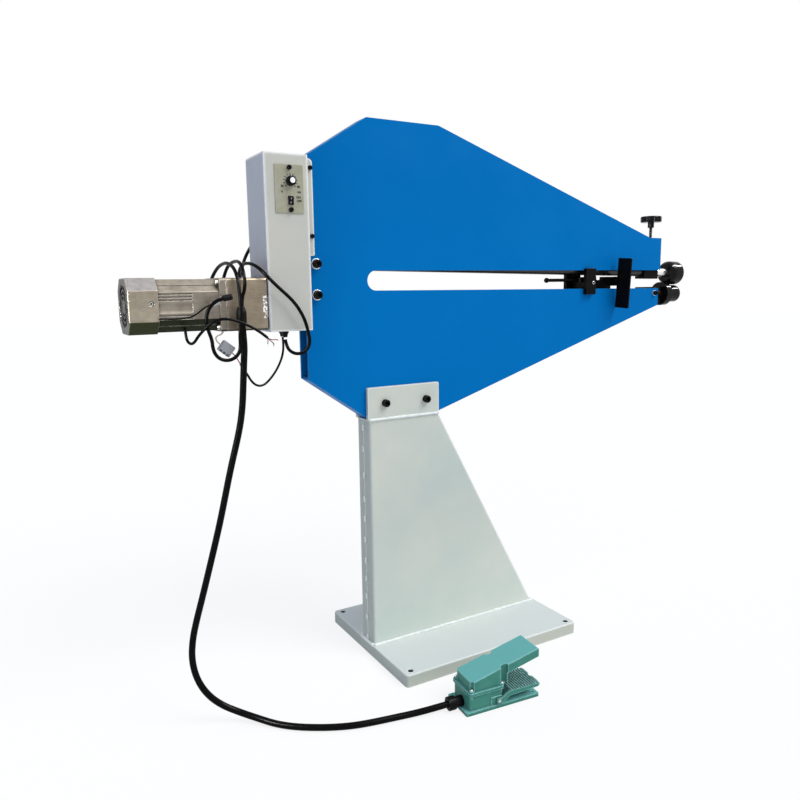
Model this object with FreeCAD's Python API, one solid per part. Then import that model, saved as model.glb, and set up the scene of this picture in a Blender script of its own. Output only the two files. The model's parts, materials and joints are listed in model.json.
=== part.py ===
import FreeCAD, Part
import math
import os

os.makedirs("parts", exist_ok=True)
V = FreeCAD.Vector

# An electric bead roller: a pedestal with a deep blue throat frame, two geared shafts that carry
# the rolls, a gear motor behind and a foot switch on the floor.
# X runs along the throat towards the rolls, Y away from the viewer, Z up, all in millimetres.
# The origin is the centre of the base plate's underside.

# Fits
running = 0.05            # radial clearance of a shaft in its bearing
push_fit = 0.02           # radial clearance of a hub on its shaft
guide_gap = 0.3           # between sliding faces
slot_gap = 0.8            # round the pad in its T-slot

# Base plate
base_length = 520.0
base_depth = 400.0
base_thick = 30.0
base_corner = 9.0
base_edge = 2.5
base_hole_dia = 14.0
base_pitch_x = 480.0
base_pitch_y = 364.0

# Stand
stand_depth = 66.0
stand_sheet = 5.0
stand_bend = 8.0
stand_left = -256.6
stand_foot_right = 249.4
stand_top_right = -60.4
stand_top = 603.0

# Saddle plates and their bolts
saddle_thick = 9.0
saddle_height = 78.0
saddle_left = -260.0
saddle_right = -60.0
saddle_bolt_x = (-213.6, -98.8)
saddle_bolt_rise = 38.8

# Blue frame
frame_width = 48.0
plate_thick = 6.0
frame_left = -404.0
frame_low_left = 710.0
frame_top_left = 1195.0
frame_peak = 1295.0
peak_left = -244.5
peak_right = -50.0
peak_round = 30.0
frame_bottom = 605.0
bottom_left = -253.0
bottom_right = -60.0
nose_left = 692.0
nose_right = 740.0
nose_top = 1049.0
jaw_right = 734.0
jaw_top = 902.0
jaw_bottom = 852.0
throat_top = 955.0
throat_back_z = 909.0
throat_end = -249.5
throat_round = 22.5

# Shafts
shaft_dia = 25.0
journal_dia = 20.0
stub_dia = 16.0
lower_z = 885.0
pivot_x = -378.0
pivot_z = 969.7
front_x = 719.7
front_shaft_z = 949.07
rear_end_x = -471.0
journal_end_x = -340.0

# Gears
gear_module = 4.0
gear_teeth = 21
gear_width = 20.0
gear_x = -440.0
coupling_radius = 18.0
pressure_angle = math.radians(20.0)

# Bearings
rear_block_length = 36.0
rear_screw_rise = 16.0
upper_block_length = 58.0
upper_block_left = 680.0
upper_block_below = 19.0
upper_block_above = 38.0
slot_floor = 22.0
pad_dia = 26.0
pad_thick = 7.0
front_block_left = 682.0
front_block_bottom = 861.0
front_block_top = 906.0
flange_dia = 31.0
flange_length = 9.0
front_bolt_x = 718.0
front_bolt_z = 888.0

# Rolls
roll_radius = 35.0
lower_disc_left = 766.0
lower_disc_right = 788.0
lower_hub_radius = 25.5
lower_roll_right = 836.0
upper_roll_left = 786.0
upper_face_radius = 25.0
upper_full_x = 806.0
upper_roll_right = 842.0
roll_round = 13.0
nut_recess_dia = 34.0
nut_recess = 13.0

# Tension screw
screw_dia = 10.0
screw_pitch = 3.0
nose_block_thick = 12.0
knob_hub_z = 1080.0
knob_z = 1095.5
knob_thick = 17.5
knob_dia = 60.0
knob_lobes = 10
hub_dia = 18.0

# Screws
m12 = 12.0
m12_head = 18.0
m12_washer = 24.0
m8 = 8.0
m8_head = 13.0
m8_washer = 16.0
m5 = 5.0
m5_head = 10.0

# Control box
box_left = -503.0
box_right = -405.0
box_half = 58.0
box_bottom = 825.0
box_top = 1196.0
box_sheet = 2.0
flange_right = -381.0
flange_bottom = 987.0
flange_screw_x = -386.5
flange_screw_z = (1029.5, 1175.0)

# Speed controller
panel_left = -480.6
panel_right = -417.0
panel_bottom = 1073.5
panel_top = 1173.3
panel_thick = 2.5
panel_screw = ((-448.4, 1167.0), (-447.1, 1080.6))
dial_x = -446.5
dial_z = 1139.4
dial_dia = 21.0
rocker_x = -447.0
rocker_z = 1099.5
rocker_width = 15.0
rocker_height = 21.0
rocker_tilt = 10.0
rocker_pivot = 4.0         # behind the front plate's face
rocker_pin_dia = 3.0

# Gear motor, coaxial with the lower shaft
motor_size = 110.0
gearbox_right = -504.0
gearbox_length = 90.0
motor_flange_length = 13.0
motor_body_length = 123.0
motor_cap_length = 57.0
motor_body_inset = 2.0    # each side, inside the gearbox's outline
motor_cap_proud = 1.0     # each side, outside it
motor_chamfer = 25.5
motor_shaft_dia = 8.0
fan_radius = 36.0
grille_radius = 44.0
mount_plate_thick = 8.0

# Gauge
gauge_left = 430.0
gauge_length = 35.0
gauge_back_left = 412.0
cheek_thick = 12.0
cheek_bottom = 888.0
cheek_top = 960.0
block_top = 922.0
arm_bottom = 903.0
arm_top = 937.0
arm_notch = (497.0, 521.0, 928.0)
arm_thick = 12.0
guide_x = 554.0
guide_thick = 4.0
guide_bottom = 848.0
guide_top = 988.0
guide_depth = 48.0
guide_lean = 3.5
lever_x = 442.0
lever_z = 928.5
lever_dia = 9.0
lever_ball = 14.0
lever_tip_x = 316.0

# Foot switch, in its own frame: a along the switch, b towards the back
foot_corner = V(-208.2, -363.7, 0)
foot_turn = -5.28
foot_length = 187.0
foot_width = 86.0
foot_base = 8.0
foot_wall = 4.0
housing_end = 93.0
housing_top = 43.0
case_left = 10.0
lip_thick = 7.0
lip_width = 79.0
hood_rise = 13.6
hood_low = 72.0
hood_start = 14.0
hood_front = 4.0
hood_back = 75.0
notch_left = 88.0
notch_right = 107.0
skirt_depth = 20.0
lid_tab_radius = 5.0
lid_tab_thick = 4.0
treadle_hinge_a = 81.0
treadle_hinge_z = 18.0
treadle_front = -3.0
treadle_width = 72.0
treadle_top = 37.0
treadle_thick = 6.0
treadle_ribs = 11

# Cables: outside diameters
foot_cable_dia = 14.0
cable_dia = 7.5
lead_dia = 5.0
spare_dia = 6.0
wire_dia = 3.2

# Worked out from the sizes above
half_width = frame_width / 2
inner_half = half_width - plate_thick
block_half = inner_half - guide_gap - 0.1
tilt = math.degrees(math.asin((pivot_z - front_shaft_z) / (front_x - pivot_x)))
saddle_y = half_width + saddle_thick
gearbox_left = gearbox_right - gearbox_length
motor_flange_left = gearbox_left - motor_flange_length
motor_body_left = motor_flange_left - motor_body_length
motor_cap_left = motor_body_left - motor_cap_length
motor_body_size = motor_size - 2 * motor_body_inset
motor_cap_size = motor_size + 2 * motor_cap_proud


# Basic shapes

def box(x0, x1, y0, y1, z0, z1):
    return Part.makeBox(x1 - x0, y1 - y0, z1 - z0, V(x0, y0, z0))


def rod(start, axis, radius, length):
    return Part.makeCylinder(radius, length, V(*start), V(*axis))


def rod_x(x0, x1, radius, y=0.0, z=0.0):
    return rod((x0, y, z), (1, 0, 0), radius, x1 - x0)


def rod_y(y0, y1, radius, x=0.0, z=0.0):
    return rod((x, y0, z), (0, 1, 0), radius, y1 - y0)


def rod_z(z0, z1, radius, x=0.0, y=0.0):
    return rod((x, y, z0), (0, 0, 1), radius, z1 - z0)


def fused(shapes):
    body = shapes[0]
    for shape in shapes[1:]:
        body = body.fuse(shape)
    return body.removeSplitter()


def group(shapes):
    return Part.makeCompound(shapes)


def round_wire(points, radii):
    """Closed outline through the points, with each corner rounded by its radius."""
    count = len(points)
    starts = []
    ends = []
    arcs = []
    for i, point in enumerate(points):
        before = (points[i - 1] - point).normalize()
        after = (points[(i + 1) % count] - point).normalize()
        radius = radii[i] if isinstance(radii, (list, tuple)) else radii
        if radius <= 0:
            starts.append(point)
            ends.append(point)
            arcs.append(None)
            continue
        half = before.getAngle(after) / 2
        reach = radius / math.tan(half)
        middle = (before + after).normalize() * (radius / math.sin(half) - radius)
        starts.append(point + before * reach)
        ends.append(point + after * reach)
        arcs.append(point + middle)
    edges = []
    for i in range(count):
        if arcs[i] is not None:
            edges.append(Part.Arc(starts[i], arcs[i], ends[i]).toShape())
        following = starts[(i + 1) % count]
        if (following - ends[i]).Length > 1e-6:
            edges.append(Part.LineSegment(ends[i], following).toShape())
    return Part.Wire(edges)


def prism(points, direction, radii=0.0):
    """Solid with a rounded outline, pushed along a direction."""
    return Part.Face(round_wire(points, radii)).extrude(direction)


def prism_xz(pairs, y0, y1, radii=0.0):
    return prism([V(x, y0, z) for x, z in pairs], V(0, y1 - y0, 0), radii)


def prism_yz(pairs, x0, x1, radii=0.0):
    return prism([V(x0, y, z) for y, z in pairs], V(x1 - x0, 0, 0), radii)


def prism_xy(pairs, z0, z1, radii=0.0):
    return prism([V(x, y, z0) for x, y in pairs], V(0, 0, z1 - z0), radii)


def rectangle(x0, x1, y0, y1):
    return [(x0, y0), (x1, y0), (x1, y1), (x0, y1)]


def octagon(size, chamfer, z):
    """Corners of a chamfered square across Y and Z."""
    far = size / 2
    near = far - chamfer
    return [(-near, z - far), (near, z - far), (far, z - near), (far, z + near),
            (near, z + far), (-near, z + far), (-far, z + near), (-far, z - near)]


def strip_between(pairs, thickness):
    """Outline of a bent strip whose outer side follows the points; the inner side is to the left."""
    lines = []
    for (x0, z0), (x1, z1) in zip(pairs, pairs[1:]):
        along = V(x1 - x0, 0, z1 - z0).normalize()
        lines.append((V(x0, 0, z0), along, V(-along.z, 0, along.x)))
    inner = [lines[0][0] + lines[0][2] * thickness]
    for (start, along, left), (start_b, along_b, left_b) in zip(lines, lines[1:]):
        half = along.getAngle(along_b) / 2
        middle = (left + left_b).normalize()
        inner.append(start_b + middle * (thickness / math.cos(half)))
    last = lines[-1]
    inner.append(V(pairs[-1][0], 0, pairs[-1][1]) + last[2] * thickness)
    return list(pairs) + [(p.x, p.z) for p in reversed(inner)]


def revolve_x(profile, z=0.0):
    """Solid of revolution about the X direction; profile pairs are (x, radius)."""
    edges = []
    points = [V(x, 0, r) for x, r in profile]
    for first, second in zip(points, points[1:] + points[:1]):
        edges.append(Part.LineSegment(first, second).toShape())
    solid = Part.Face(Part.Wire(edges)).revolve(V(0, 0, 0), V(1, 0, 0), 360)
    solid.translate(V(0, 0, z))
    return solid


def hexagon(centre, axis, flats):
    """Corner points of a hexagon square to an axis."""
    axis = V(*axis)
    side = V(0, 0, 1) if abs(axis.z) < 0.5 else V(1, 0, 0)
    other = axis.cross(side)
    corner = flats / math.sqrt(3)
    points = []
    for i in range(6):
        angle = math.radians(60 * i + 30)
        points.append(V(*centre) + side * (corner * math.cos(angle)) + other * (corner * math.sin(angle)))
    return points


def socket_screw(seat, axis, dia, head_dia, length):
    """Socket head screw; the head stands out of the seat along the axis, the shank goes the other way."""
    axis = V(*axis)
    seat = V(*seat)
    head = Part.makeCylinder(head_dia / 2, dia, seat, axis)
    rim = [e for e in head.Edges if (e.CenterOfMass - seat - axis * dia).Length < 0.01]
    head = head.makeChamfer(0.06 * head_dia, rim)
    shank = Part.makeCylinder(dia / 2, length, seat - axis * length, axis)
    depth = 0.55 * dia
    socket = Part.Face(Part.Wire(Part.makePolygon(close(hexagon(seat + axis * (dia - depth), axis, 0.8 * dia)))))
    return head.fuse(shank).cut(socket.extrude(axis * (depth + 1)))


def close(points):
    return points + [points[0]]


def hex_nut(seat, axis, flats, thickness, bore):
    face = Part.Face(Part.Wire(Part.makePolygon(close(hexagon(seat, axis, flats)))))
    nut = face.extrude(V(*axis) * thickness)
    return nut.cut(Part.makeCylinder(bore / 2, thickness, V(*seat), V(*axis)))


def washer(seat, axis, outer, inner, thickness):
    ring = Part.makeCylinder(outer / 2, thickness, V(*seat), V(*axis))
    return ring.cut(Part.makeCylinder(inner / 2, thickness, V(*seat), V(*axis)))


def edges_along(shape, axis, test):
    """Straight edges that run along an axis and whose middle passes the test."""
    picked = []
    for edge in shape.Edges:
        if not isinstance(edge.Curve, Part.Line):
            continue
        if abs(abs(edge.Curve.Direction.dot(V(*axis))) - 1) < 1e-6 and test(edge.CenterOfMass):
            picked.append(edge)
    return picked


# Stand

def base_plate():
    x = base_length / 2
    y = base_depth / 2
    plate = prism_xy(rectangle(-x, x, -y, y), 0, base_thick, base_corner)
    rim = [e for e in plate.Edges if abs(e.CenterOfMass.z - base_thick) < 0.01 and e.Length > 1]
    plate = plate.makeFillet(base_edge, rim)
    for sx in (-1, 1):
        for sy in (-1, 1):
            centre = (sx * base_pitch_x / 2, sy * base_pitch_y / 2)
            plate = plate.cut(rod_z(0, base_thick, base_hole_dia / 2, *centre))
    return plate


def stand_outline(inset):
    """The stand's sloped outline, moved inwards by a sheet's thickness on its three closed sides."""
    rise = stand_top - base_thick
    run = stand_foot_right - stand_top_right
    slant = inset * math.hypot(rise, run) / rise
    left = stand_left + inset
    return [(left, base_thick), (stand_foot_right - slant, base_thick),
            (stand_top_right - slant, stand_top), (left, stand_top)]


def stand_shell(side):
    """Half of the folded stand: a tapered wall with its two bent edges, open towards the seam."""
    half = stand_depth / 2
    outer = prism_xz(stand_outline(0), -half, 0)
    upright = [e for e in outer.Edges if abs(e.CenterOfMass.y + half) < 0.01 and abs(e.tangentAt(0).z) > 0.5]
    outer = outer.makeFillet(stand_bend, upright)
    inner = prism_xz(stand_outline(stand_sheet), -half + stand_sheet, 0)
    upright = [e for e in inner.Edges if abs(e.CenterOfMass.y + half - stand_sheet) < 0.01
               and abs(e.tangentAt(0).z) > 0.5]
    inner = inner.makeFillet(stand_bend - stand_sheet, upright)
    shell = outer.cut(inner)
    return shell if side < 0 else shell.mirror(V(0, 0, 0), V(0, 1, 0))


def saddle_plates():
    plates = []
    corners = [(saddle_left, stand_top), (saddle_right, stand_top),
               (saddle_right, stand_top + saddle_height), (saddle_left, stand_top + saddle_height)]
    for y0 in (-saddle_y, half_width):
        plate = prism_xz(corners, y0, y0 + saddle_thick, [0, 0, 3, 3])
        for x in saddle_bolt_x:
            plate = plate.cut(rod_y(y0, y0 + saddle_thick, m12 / 2 + running, x, stand_top + saddle_bolt_rise))
        plates.append(plate)
    return group(plates)


# Frame

def frame_outline():
    return [(frame_left, frame_low_left), (bottom_left, frame_bottom), (bottom_right, frame_bottom),
            (jaw_right, jaw_bottom), (jaw_right, jaw_top), (throat_end, throat_back_z),
            (throat_end, throat_top), (nose_right, throat_top), (nose_right, nose_top),
            (nose_left, nose_top), (peak_right, frame_peak), (peak_left, frame_peak),
            (frame_left, frame_top_left)]


def frame_plate(y0):
    radii = [0, 0, 0, 2, 2, throat_round, throat_round, 0, 2, 0, peak_round, 0, 0]
    plate = prism_xz(frame_outline(), y0, y0 + plate_thick, radii)
    holes = [(x, stand_top + saddle_bolt_rise, m12) for x in saddle_bolt_x]
    holes += [(pivot_x, pivot_z, m12), (pivot_x, lower_z + rear_screw_rise, m12)]
    holes += [(front_bolt_x, front_bolt_z, m8)]
    for x, z, dia in holes:
        plate = plate.cut(rod_y(y0, y0 + plate_thick, dia / 2 + running, x, z))
    for z in flange_screw_z:
        plate = plate.cut(rod_y(y0, y0 + plate_thick, m5 / 2 + running, flange_screw_x, z))
    return plate


def frame_strips():
    """The bent strips that join the two side plates along the top and the bottom."""
    top = [(nose_left, nose_top), (peak_right, frame_peak), (peak_left, frame_peak),
           (frame_left, frame_top_left)]
    bottom = [(frame_left, frame_low_left), (bottom_left, frame_bottom), (bottom_right, frame_bottom),
              (jaw_right, jaw_bottom)]
    strips = []
    for path, outer, inner in ((top, peak_round, peak_round - plate_thick), (bottom, 0, 0)):
        outline = strip_between(path, plate_thick)
        radii = [0, outer, 0, 0, 0, 0, inner, 0]
        strips.append(prism_xz(outline, -inner_half, inner_half, radii))
    strips[0] = strips[0].cut(box(nose_left, nose_right, -inner_half, inner_half, throat_top, nose_top))
    ends = box(jaw_right, nose_right, -inner_half, inner_half, 0, nose_top)
    ends = ends.fuse(box(2 * frame_left, frame_left, -inner_half, inner_half, 0, frame_peak))
    return [strip.cut(ends) for strip in strips]


def nose_block():
    """The threaded block that closes the nose and holds the tension screw."""
    block = box(nose_left, nose_right, -inner_half, inner_half, nose_top - nose_block_thick, nose_top)
    boss = rod_z(nose_top - nose_block_thick - 8, nose_top - nose_block_thick, 13, front_x)
    bore = rod_z(nose_top - 30, nose_top, screw_dia / 2 + running, front_x)
    return fused([block, boss]).cut(bore)


def rear_lower_bearing():
    x0 = pivot_x - rear_block_length / 2
    x1 = pivot_x + rear_block_length / 2
    top = lower_z + rear_screw_rise + 12
    bottom = lower_z - 24
    block = prism_xz([(x0, bottom), (x1, bottom), (x1, top), (x0, top)], -inner_half, inner_half, 3)
    block = block.cut(rod_x(x0, x1, journal_dia / 2 + running, 0, lower_z))
    for y0 in (-inner_half, screw_reach()):
        block = block.cut(rod_y(y0, y0 + inner_half - screw_reach(), m12 / 2 + running,
                                pivot_x, lower_z + rear_screw_rise))
    return block


def screw_reach():
    """How near the shaft's centre plane a rear bearing screw may come."""
    return journal_dia / 2 + 1.5


def front_lower_bearing():
    """Bearing block in the lower jaw, with its round flange at the jaw's end."""
    block = box(front_block_left, nose_right, -inner_half, inner_half, front_block_bottom, front_block_top)
    corners = edges_along(block, (0, 1, 0), lambda p: p.z > lower_z)
    block = block.makeFillet(3, corners)
    flange = revolve_x([(nose_right, 0), (nose_right, flange_dia / 2),
                        (nose_right + flange_length - 3, flange_dia / 2),
                        (nose_right + flange_length, flange_dia / 2 - 3), (nose_right + flange_length, 0)], lower_z)
    body = fused([block, flange])
    body = body.cut(rod_x(front_block_left, nose_right + flange_length, shaft_dia / 2 + running, 0, lower_z))
    reach = shaft_dia / 2 + 1.5
    for y0 in (-inner_half, reach):
        body = body.cut(rod_y(y0, y0 + inner_half - reach, m8 / 2 + running, front_bolt_x, front_bolt_z))
    return body


def frame_bolts():
    """Every black socket screw of the frame, with its washer or nut."""
    parts = []
    saddle_z = stand_top + saddle_bolt_rise
    for x in saddle_bolt_x:
        parts.append(socket_screw((x, -saddle_y, saddle_z), (0, -1, 0), m12, m12_head, 2 * saddle_y + 14))
        parts.append(hex_nut((x, saddle_y, saddle_z), (0, 1, 0), m12_head + 1, 10, m12 + 2 * push_fit))
    thick = 2.5
    for side in (-1, 1):
        for z in (pivot_z, lower_z + rear_screw_rise):
            seat = (pivot_x, side * half_width, z)
            reach = half_width + thick - screw_reach() - 0.3
            parts.append(washer(seat, (0, side, 0), m12_washer, m12 + 2 * push_fit, thick))
            parts.append(socket_screw((pivot_x, side * (half_width + thick), z), (0, side, 0),
                                      m12, m12_head, reach))
        seat = (front_bolt_x, side * half_width, front_bolt_z)
        reach = half_width + 1.6 - shaft_dia / 2 - 1.8
        parts.append(washer(seat, (0, side, 0), m8_washer, m8 + 2 * push_fit, 1.6))
        parts.append(socket_screw((front_bolt_x, side * (half_width + 1.6), front_bolt_z), (0, side, 0),
                                  m8, m8_head, reach))
    return group(parts)


# Shafts and gears

def involute_gear(teeth, module, width):
    """Spur gear about X, from x = 0, with one tooth centred on +Z; flanks are true involutes."""
    pitch = module * teeth / 2
    base = pitch * math.cos(pressure_angle)
    tip = pitch + module
    root = pitch - 1.25 * module
    half_pitch = math.pi / (2 * teeth)
    at_pitch = math.tan(pressure_angle) - pressure_angle

    def flank(radius, side, turn):
        angle = math.acos(min(1.0, base / radius))
        away = half_pitch + at_pitch - (math.tan(angle) - angle)
        return polar(radius, turn + side * away)

    def polar(radius, angle):
        return V(0, radius * math.sin(angle), radius * math.cos(angle))

    low = max(base, root)
    steps = [low + (tip - low) * k / 3 for k in range(4)]
    edges = []
    for i in range(teeth):
        turn = 2 * math.pi * i / teeth
        rising = [flank(r, -1, turn) for r in steps]
        falling = [flank(r, 1, turn) for r in reversed(steps)]
        foot_angle = half_pitch + at_pitch
        foot_in = polar(root, turn - foot_angle)
        foot_out = polar(root, turn + foot_angle)
        gap_middle = polar(root, turn + math.pi / teeth)
        next_foot = polar(root, turn + 2 * math.pi / teeth - foot_angle)
        edges.append(Part.LineSegment(foot_in, rising[0]).toShape())
        edges.append(curve(rising))
        edges.append(Part.Arc(rising[-1], polar(tip, turn), falling[0]).toShape())
        edges.append(curve(falling))
        edges.append(Part.LineSegment(falling[-1], foot_out).toShape())
        edges.append(Part.Arc(foot_out, gap_middle, next_foot).toShape())
    face = Part.Face(Part.Wire(edges))
    return face.extrude(V(width, 0, 0))


def curve(points):
    spline = Part.BSplineCurve()
    spline.interpolate(points)
    return spline.toShape()


def gear_blank():
    """A gear with its bore and a lightening ring in each face; a tooth points to +Z."""
    gear = involute_gear(gear_teeth, gear_module, gear_width)
    web = gear_width * 0.2
    ring = rod_x(0, web, 31).cut(rod_x(0, web, 17))
    gear = gear.cut(ring)
    ring.translate(V(gear_width - web, 0, 0))
    gear = gear.cut(ring)
    return gear.cut(rod_x(0, gear_width, journal_dia / 2 + push_fit))


def shaft(rear_x, journal_x, shoulder_x, roll_right):
    """Stepped shaft about X: rear journal, body, roll seat and threaded end."""
    seat_end = roll_right - nut_recess
    tip = roll_right - 2
    edge = 1.0
    return revolve_x([(rear_x, 0), (rear_x, journal_dia / 2 - edge), (rear_x + edge, journal_dia / 2),
                      (journal_x, journal_dia / 2), (journal_x, shaft_dia / 2), (shoulder_x, shaft_dia / 2),
                      (shoulder_x, journal_dia / 2), (seat_end, journal_dia / 2), (seat_end, stub_dia / 2),
                      (tip - edge, stub_dia / 2), (tip, stub_dia / 2 - edge), (tip, 0)])


def roll_nut(roll_right):
    return hex_nut((roll_right - nut_recess + 0.5, 0, 0), (1, 0, 0), 24, 9, stub_dia + 2 * push_fit)


def roll_bore(roll_left, roll_right):
    bore = rod_x(roll_left, roll_right, journal_dia / 2 + push_fit)
    recess = rod_x(roll_right - nut_recess, roll_right, nut_recess_dia / 2)
    return bore.fuse(recess)


def lower_roll():
    """Female roll: a wide disc and a rounded hub."""
    body = revolve_x([(lower_disc_left, 0), (lower_disc_left, roll_radius - 2), (lower_disc_left + 2, roll_radius),
                      (lower_disc_right - 2, roll_radius), (lower_disc_right, roll_radius - 2),
                      (lower_disc_right, lower_hub_radius), (lower_roll_right, lower_hub_radius),
                      (lower_roll_right, 0)])
    rim = [e for e in body.Edges if abs(e.CenterOfMass.x - lower_roll_right) < 0.01 and e.Length > 100]
    body = body.makeFillet(7, rim)
    return body.cut(roll_bore(lower_disc_left, lower_roll_right))


def upper_roll():
    """Male roll: its rear face swells in a smooth curve to a full barrel with a rounded nose."""
    rise = roll_radius - upper_face_radius
    run = upper_full_x - upper_roll_left
    start = V(upper_roll_left, 0, upper_face_radius)
    middle = V(upper_roll_left + 0.42 * run, 0, upper_face_radius + 0.72 * rise)
    full = V(upper_full_x, 0, roll_radius)
    nose = V(upper_roll_right - roll_round, 0, roll_radius)
    end = V(upper_roll_right, 0, roll_radius - roll_round)
    lean = roll_round * (1 - math.sqrt(0.5))
    bend = V(upper_roll_right - lean, 0, roll_radius - lean)
    outline = [Part.LineSegment(V(upper_roll_left, 0, 0), start).toShape(),
               Part.Arc(start, middle, full).toShape(),
               Part.LineSegment(full, nose).toShape(),
               Part.Arc(nose, bend, end).toShape(),
               Part.LineSegment(end, V(upper_roll_right, 0, 0)).toShape(),
               Part.LineSegment(V(upper_roll_right, 0, 0), V(upper_roll_left, 0, 0)).toShape()]
    body = Part.Face(Part.Wire(outline)).revolve(V(0, 0, 0), V(1, 0, 0), 360)
    return body.cut(roll_bore(upper_roll_left, upper_roll_right))


def lowered(shape):
    """Moves a piece drawn about the X axis onto the lower shaft's axis."""
    shape.translate(V(0, 0, lower_z))
    return shape


def tilted(shape):
    """Moves a piece drawn about the X axis onto the upper shaft's axis, which falls towards the rolls."""
    shape.translate(V(0, 0, pivot_z))
    shape.rotate(V(pivot_x, 0, pivot_z), V(0, 1, 0), tilt)
    return shape


def shaft_coupling():
    """Clamp coupling between the gearbox shaft and the lower shaft, slit along one side."""
    x0 = rear_end_x - 19
    x1 = rear_end_x + 17
    sleeve = rod_x(x0, x1, coupling_radius)
    sleeve = sleeve.makeChamfer(1.5, [e for e in sleeve.Edges if e.Length > 100])
    sleeve = sleeve.cut(rod_x(x0, x1, journal_dia / 2 + push_fit))
    sleeve = sleeve.cut(box(x0, x1, 0, 20, -1, 1))
    for x in (x0 + 9, x1 - 9):
        sleeve = sleeve.cut(rod_z(-20, 20, 2.5, x, 14))
    return sleeve


def output_shaft():
    return rod_x(gearbox_right - 26, rear_end_x - 1, journal_dia / 2)


def upper_rear_bearing():
    """Bearing block that rocks on two side screws, so the shaft can tilt."""
    half = rear_block_length / 2
    outline = [(pivot_x - half, -24), (pivot_x + half, -24), (pivot_x + half, 26), (pivot_x - half, 26)]
    block = prism_xz(outline, -block_half, block_half, 6)
    block = block.cut(rod_x(pivot_x - half, pivot_x + half, journal_dia / 2 + running))
    return block.cut(rod_y(-block_half, -screw_reach() + 0.5, m12 / 2 + running, pivot_x, 0)).cut(
        rod_y(screw_reach() - 0.5, block_half, m12 / 2 + running, pivot_x, 0))


def upper_front_bearing():
    """Sliding block of the upper shaft; the tension screw's foot hangs in the T-slot at its top."""
    x0 = upper_block_left
    x1 = x0 + upper_block_length
    block = box(x0, x1, -block_half, block_half, -upper_block_below, upper_block_above)
    upright = edges_along(block, (0, 1, 0), lambda p: p.z > 0)
    block = block.makeFillet(3, upright)
    slot_half = pad_dia / 2 + slot_gap
    start = front_x - slot_half
    slot = box(start, x1, -slot_half, slot_half, slot_floor, slot_floor + pad_thick + 2 * slot_gap)
    neck_half = screw_dia / 2 + 1.5
    neck = box(front_x - neck_half, x1, -neck_half, neck_half, slot_floor, upper_block_above)
    bore = rod_x(x0, x1, shaft_dia / 2 + running)
    return block.cut(slot).cut(neck).cut(bore)


# Tension screw

def pad_bottom():
    lean = math.radians(tilt)
    return front_shaft_z + slot_floor * math.cos(lean) + slot_gap


def pressure_pad():
    z0 = pad_bottom()
    pad = rod_z(z0, z0 + pad_thick, pad_dia / 2, front_x)
    bore = rod_z(z0 + 2, z0 + pad_thick, screw_dia / 2 + running, front_x)
    return pad.makeChamfer(0.8, [e for e in pad.Edges if e.Length > 50]).cut(bore)


def tension_screw():
    screw = rod_z(pad_bottom() + 2.3, knob_z + 12, screw_dia / 2, front_x)
    return screw.makeChamfer(0.8, [e for e in screw.Edges if e.Length > 20])


def tension_knob():
    """Lobed knob: a disc with a ring of scallops, softly rounded, on a narrow hub."""
    top = knob_z + knob_thick
    disc = rod_z(knob_z, top, knob_dia / 2)
    disc = disc.makeFillet(3.5, [e for e in disc.Edges if e.Length > 150])
    scallop_radius = 6.5
    for i in range(knob_lobes):
        angle = 2 * math.pi * (i + 0.5) / knob_lobes
        reach = knob_dia / 2 + scallop_radius * 0.55
        disc = disc.cut(rod_z(knob_z, top, scallop_radius, reach * math.cos(angle), reach * math.sin(angle)))
    dish = rod_z(top - 1.2, top, knob_dia / 2 - 9)
    hub = rod_z(knob_hub_z, knob_z, hub_dia / 2)
    knob = fused([disc.cut(dish), hub]).cut(rod_z(knob_hub_z, knob_z + 12, screw_dia / 2 + push_fit))
    knob.translate(V(front_x, 0, 0))
    return knob


# Gauge

def gauge_cheek(side):
    """Clamp cheek outside the frame plate, with stepped corners and a bore for its ring screw."""
    x0 = gauge_left if side < 0 else gauge_back_left
    x1 = gauge_left + gauge_length
    y0 = half_width + guide_gap
    cheek = box(x0, x1, y0, y0 + cheek_thick, cheek_bottom, cheek_top)
    upright = edges_along(cheek, (0, 1, 0), lambda p: True)
    cheek = cheek.makeFillet(3, upright)
    groove = box(x0, x1, y0, y0 + 3, cheek_top - 12, cheek_top - 4)
    screw_x = x1 - 8
    screw_z = 921.0
    ring = rod_y(y0 + cheek_thick - 1.5, y0 + cheek_thick, 6, screw_x, screw_z)
    cheek = cheek.cut(groove).cut(ring).cut(rod_y(y0, y0 + cheek_thick, 2.5, screw_x, screw_z))
    return cheek if side > 0 else cheek.mirror(V(0, 0, 0), V(0, 1, 0))


def gauge_block():
    """Block in the throat: wide above the lower jaw, narrow between the plates, with the lever's pin."""
    x0 = gauge_left
    x1 = x0 + gauge_length
    wide = half_width + guide_gap
    ledge = throat_back_z + 0.6
    upper = box(x0, x1, -wide, wide, ledge, block_top)
    narrow = box(x0, x1, -block_half, block_half, arm_bottom, ledge)
    raised = box(x1 - 12, x1, -wide, wide, block_top, arm_top)
    pin = rod_z(block_top, lever_z + 6.5, 4, lever_x)
    return fused([upper, narrow, raised, pin])


def gauge_arm():
    """Flat bar from the block to the guide plate, with a round-bottomed notch in its top edge."""
    x0 = gauge_left + gauge_length
    half = arm_thick / 2
    left, right, low = arm_notch
    outline = [(x0, arm_bottom), (guide_x, arm_bottom), (guide_x, arm_top), (right, arm_top), (right, low),
               (left, low), (left, arm_top), (x0, arm_top)]
    return prism_xz(outline, -half, half, [0, 0, 0, 1.5, 4, 4, 1.5, 0])


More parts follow.
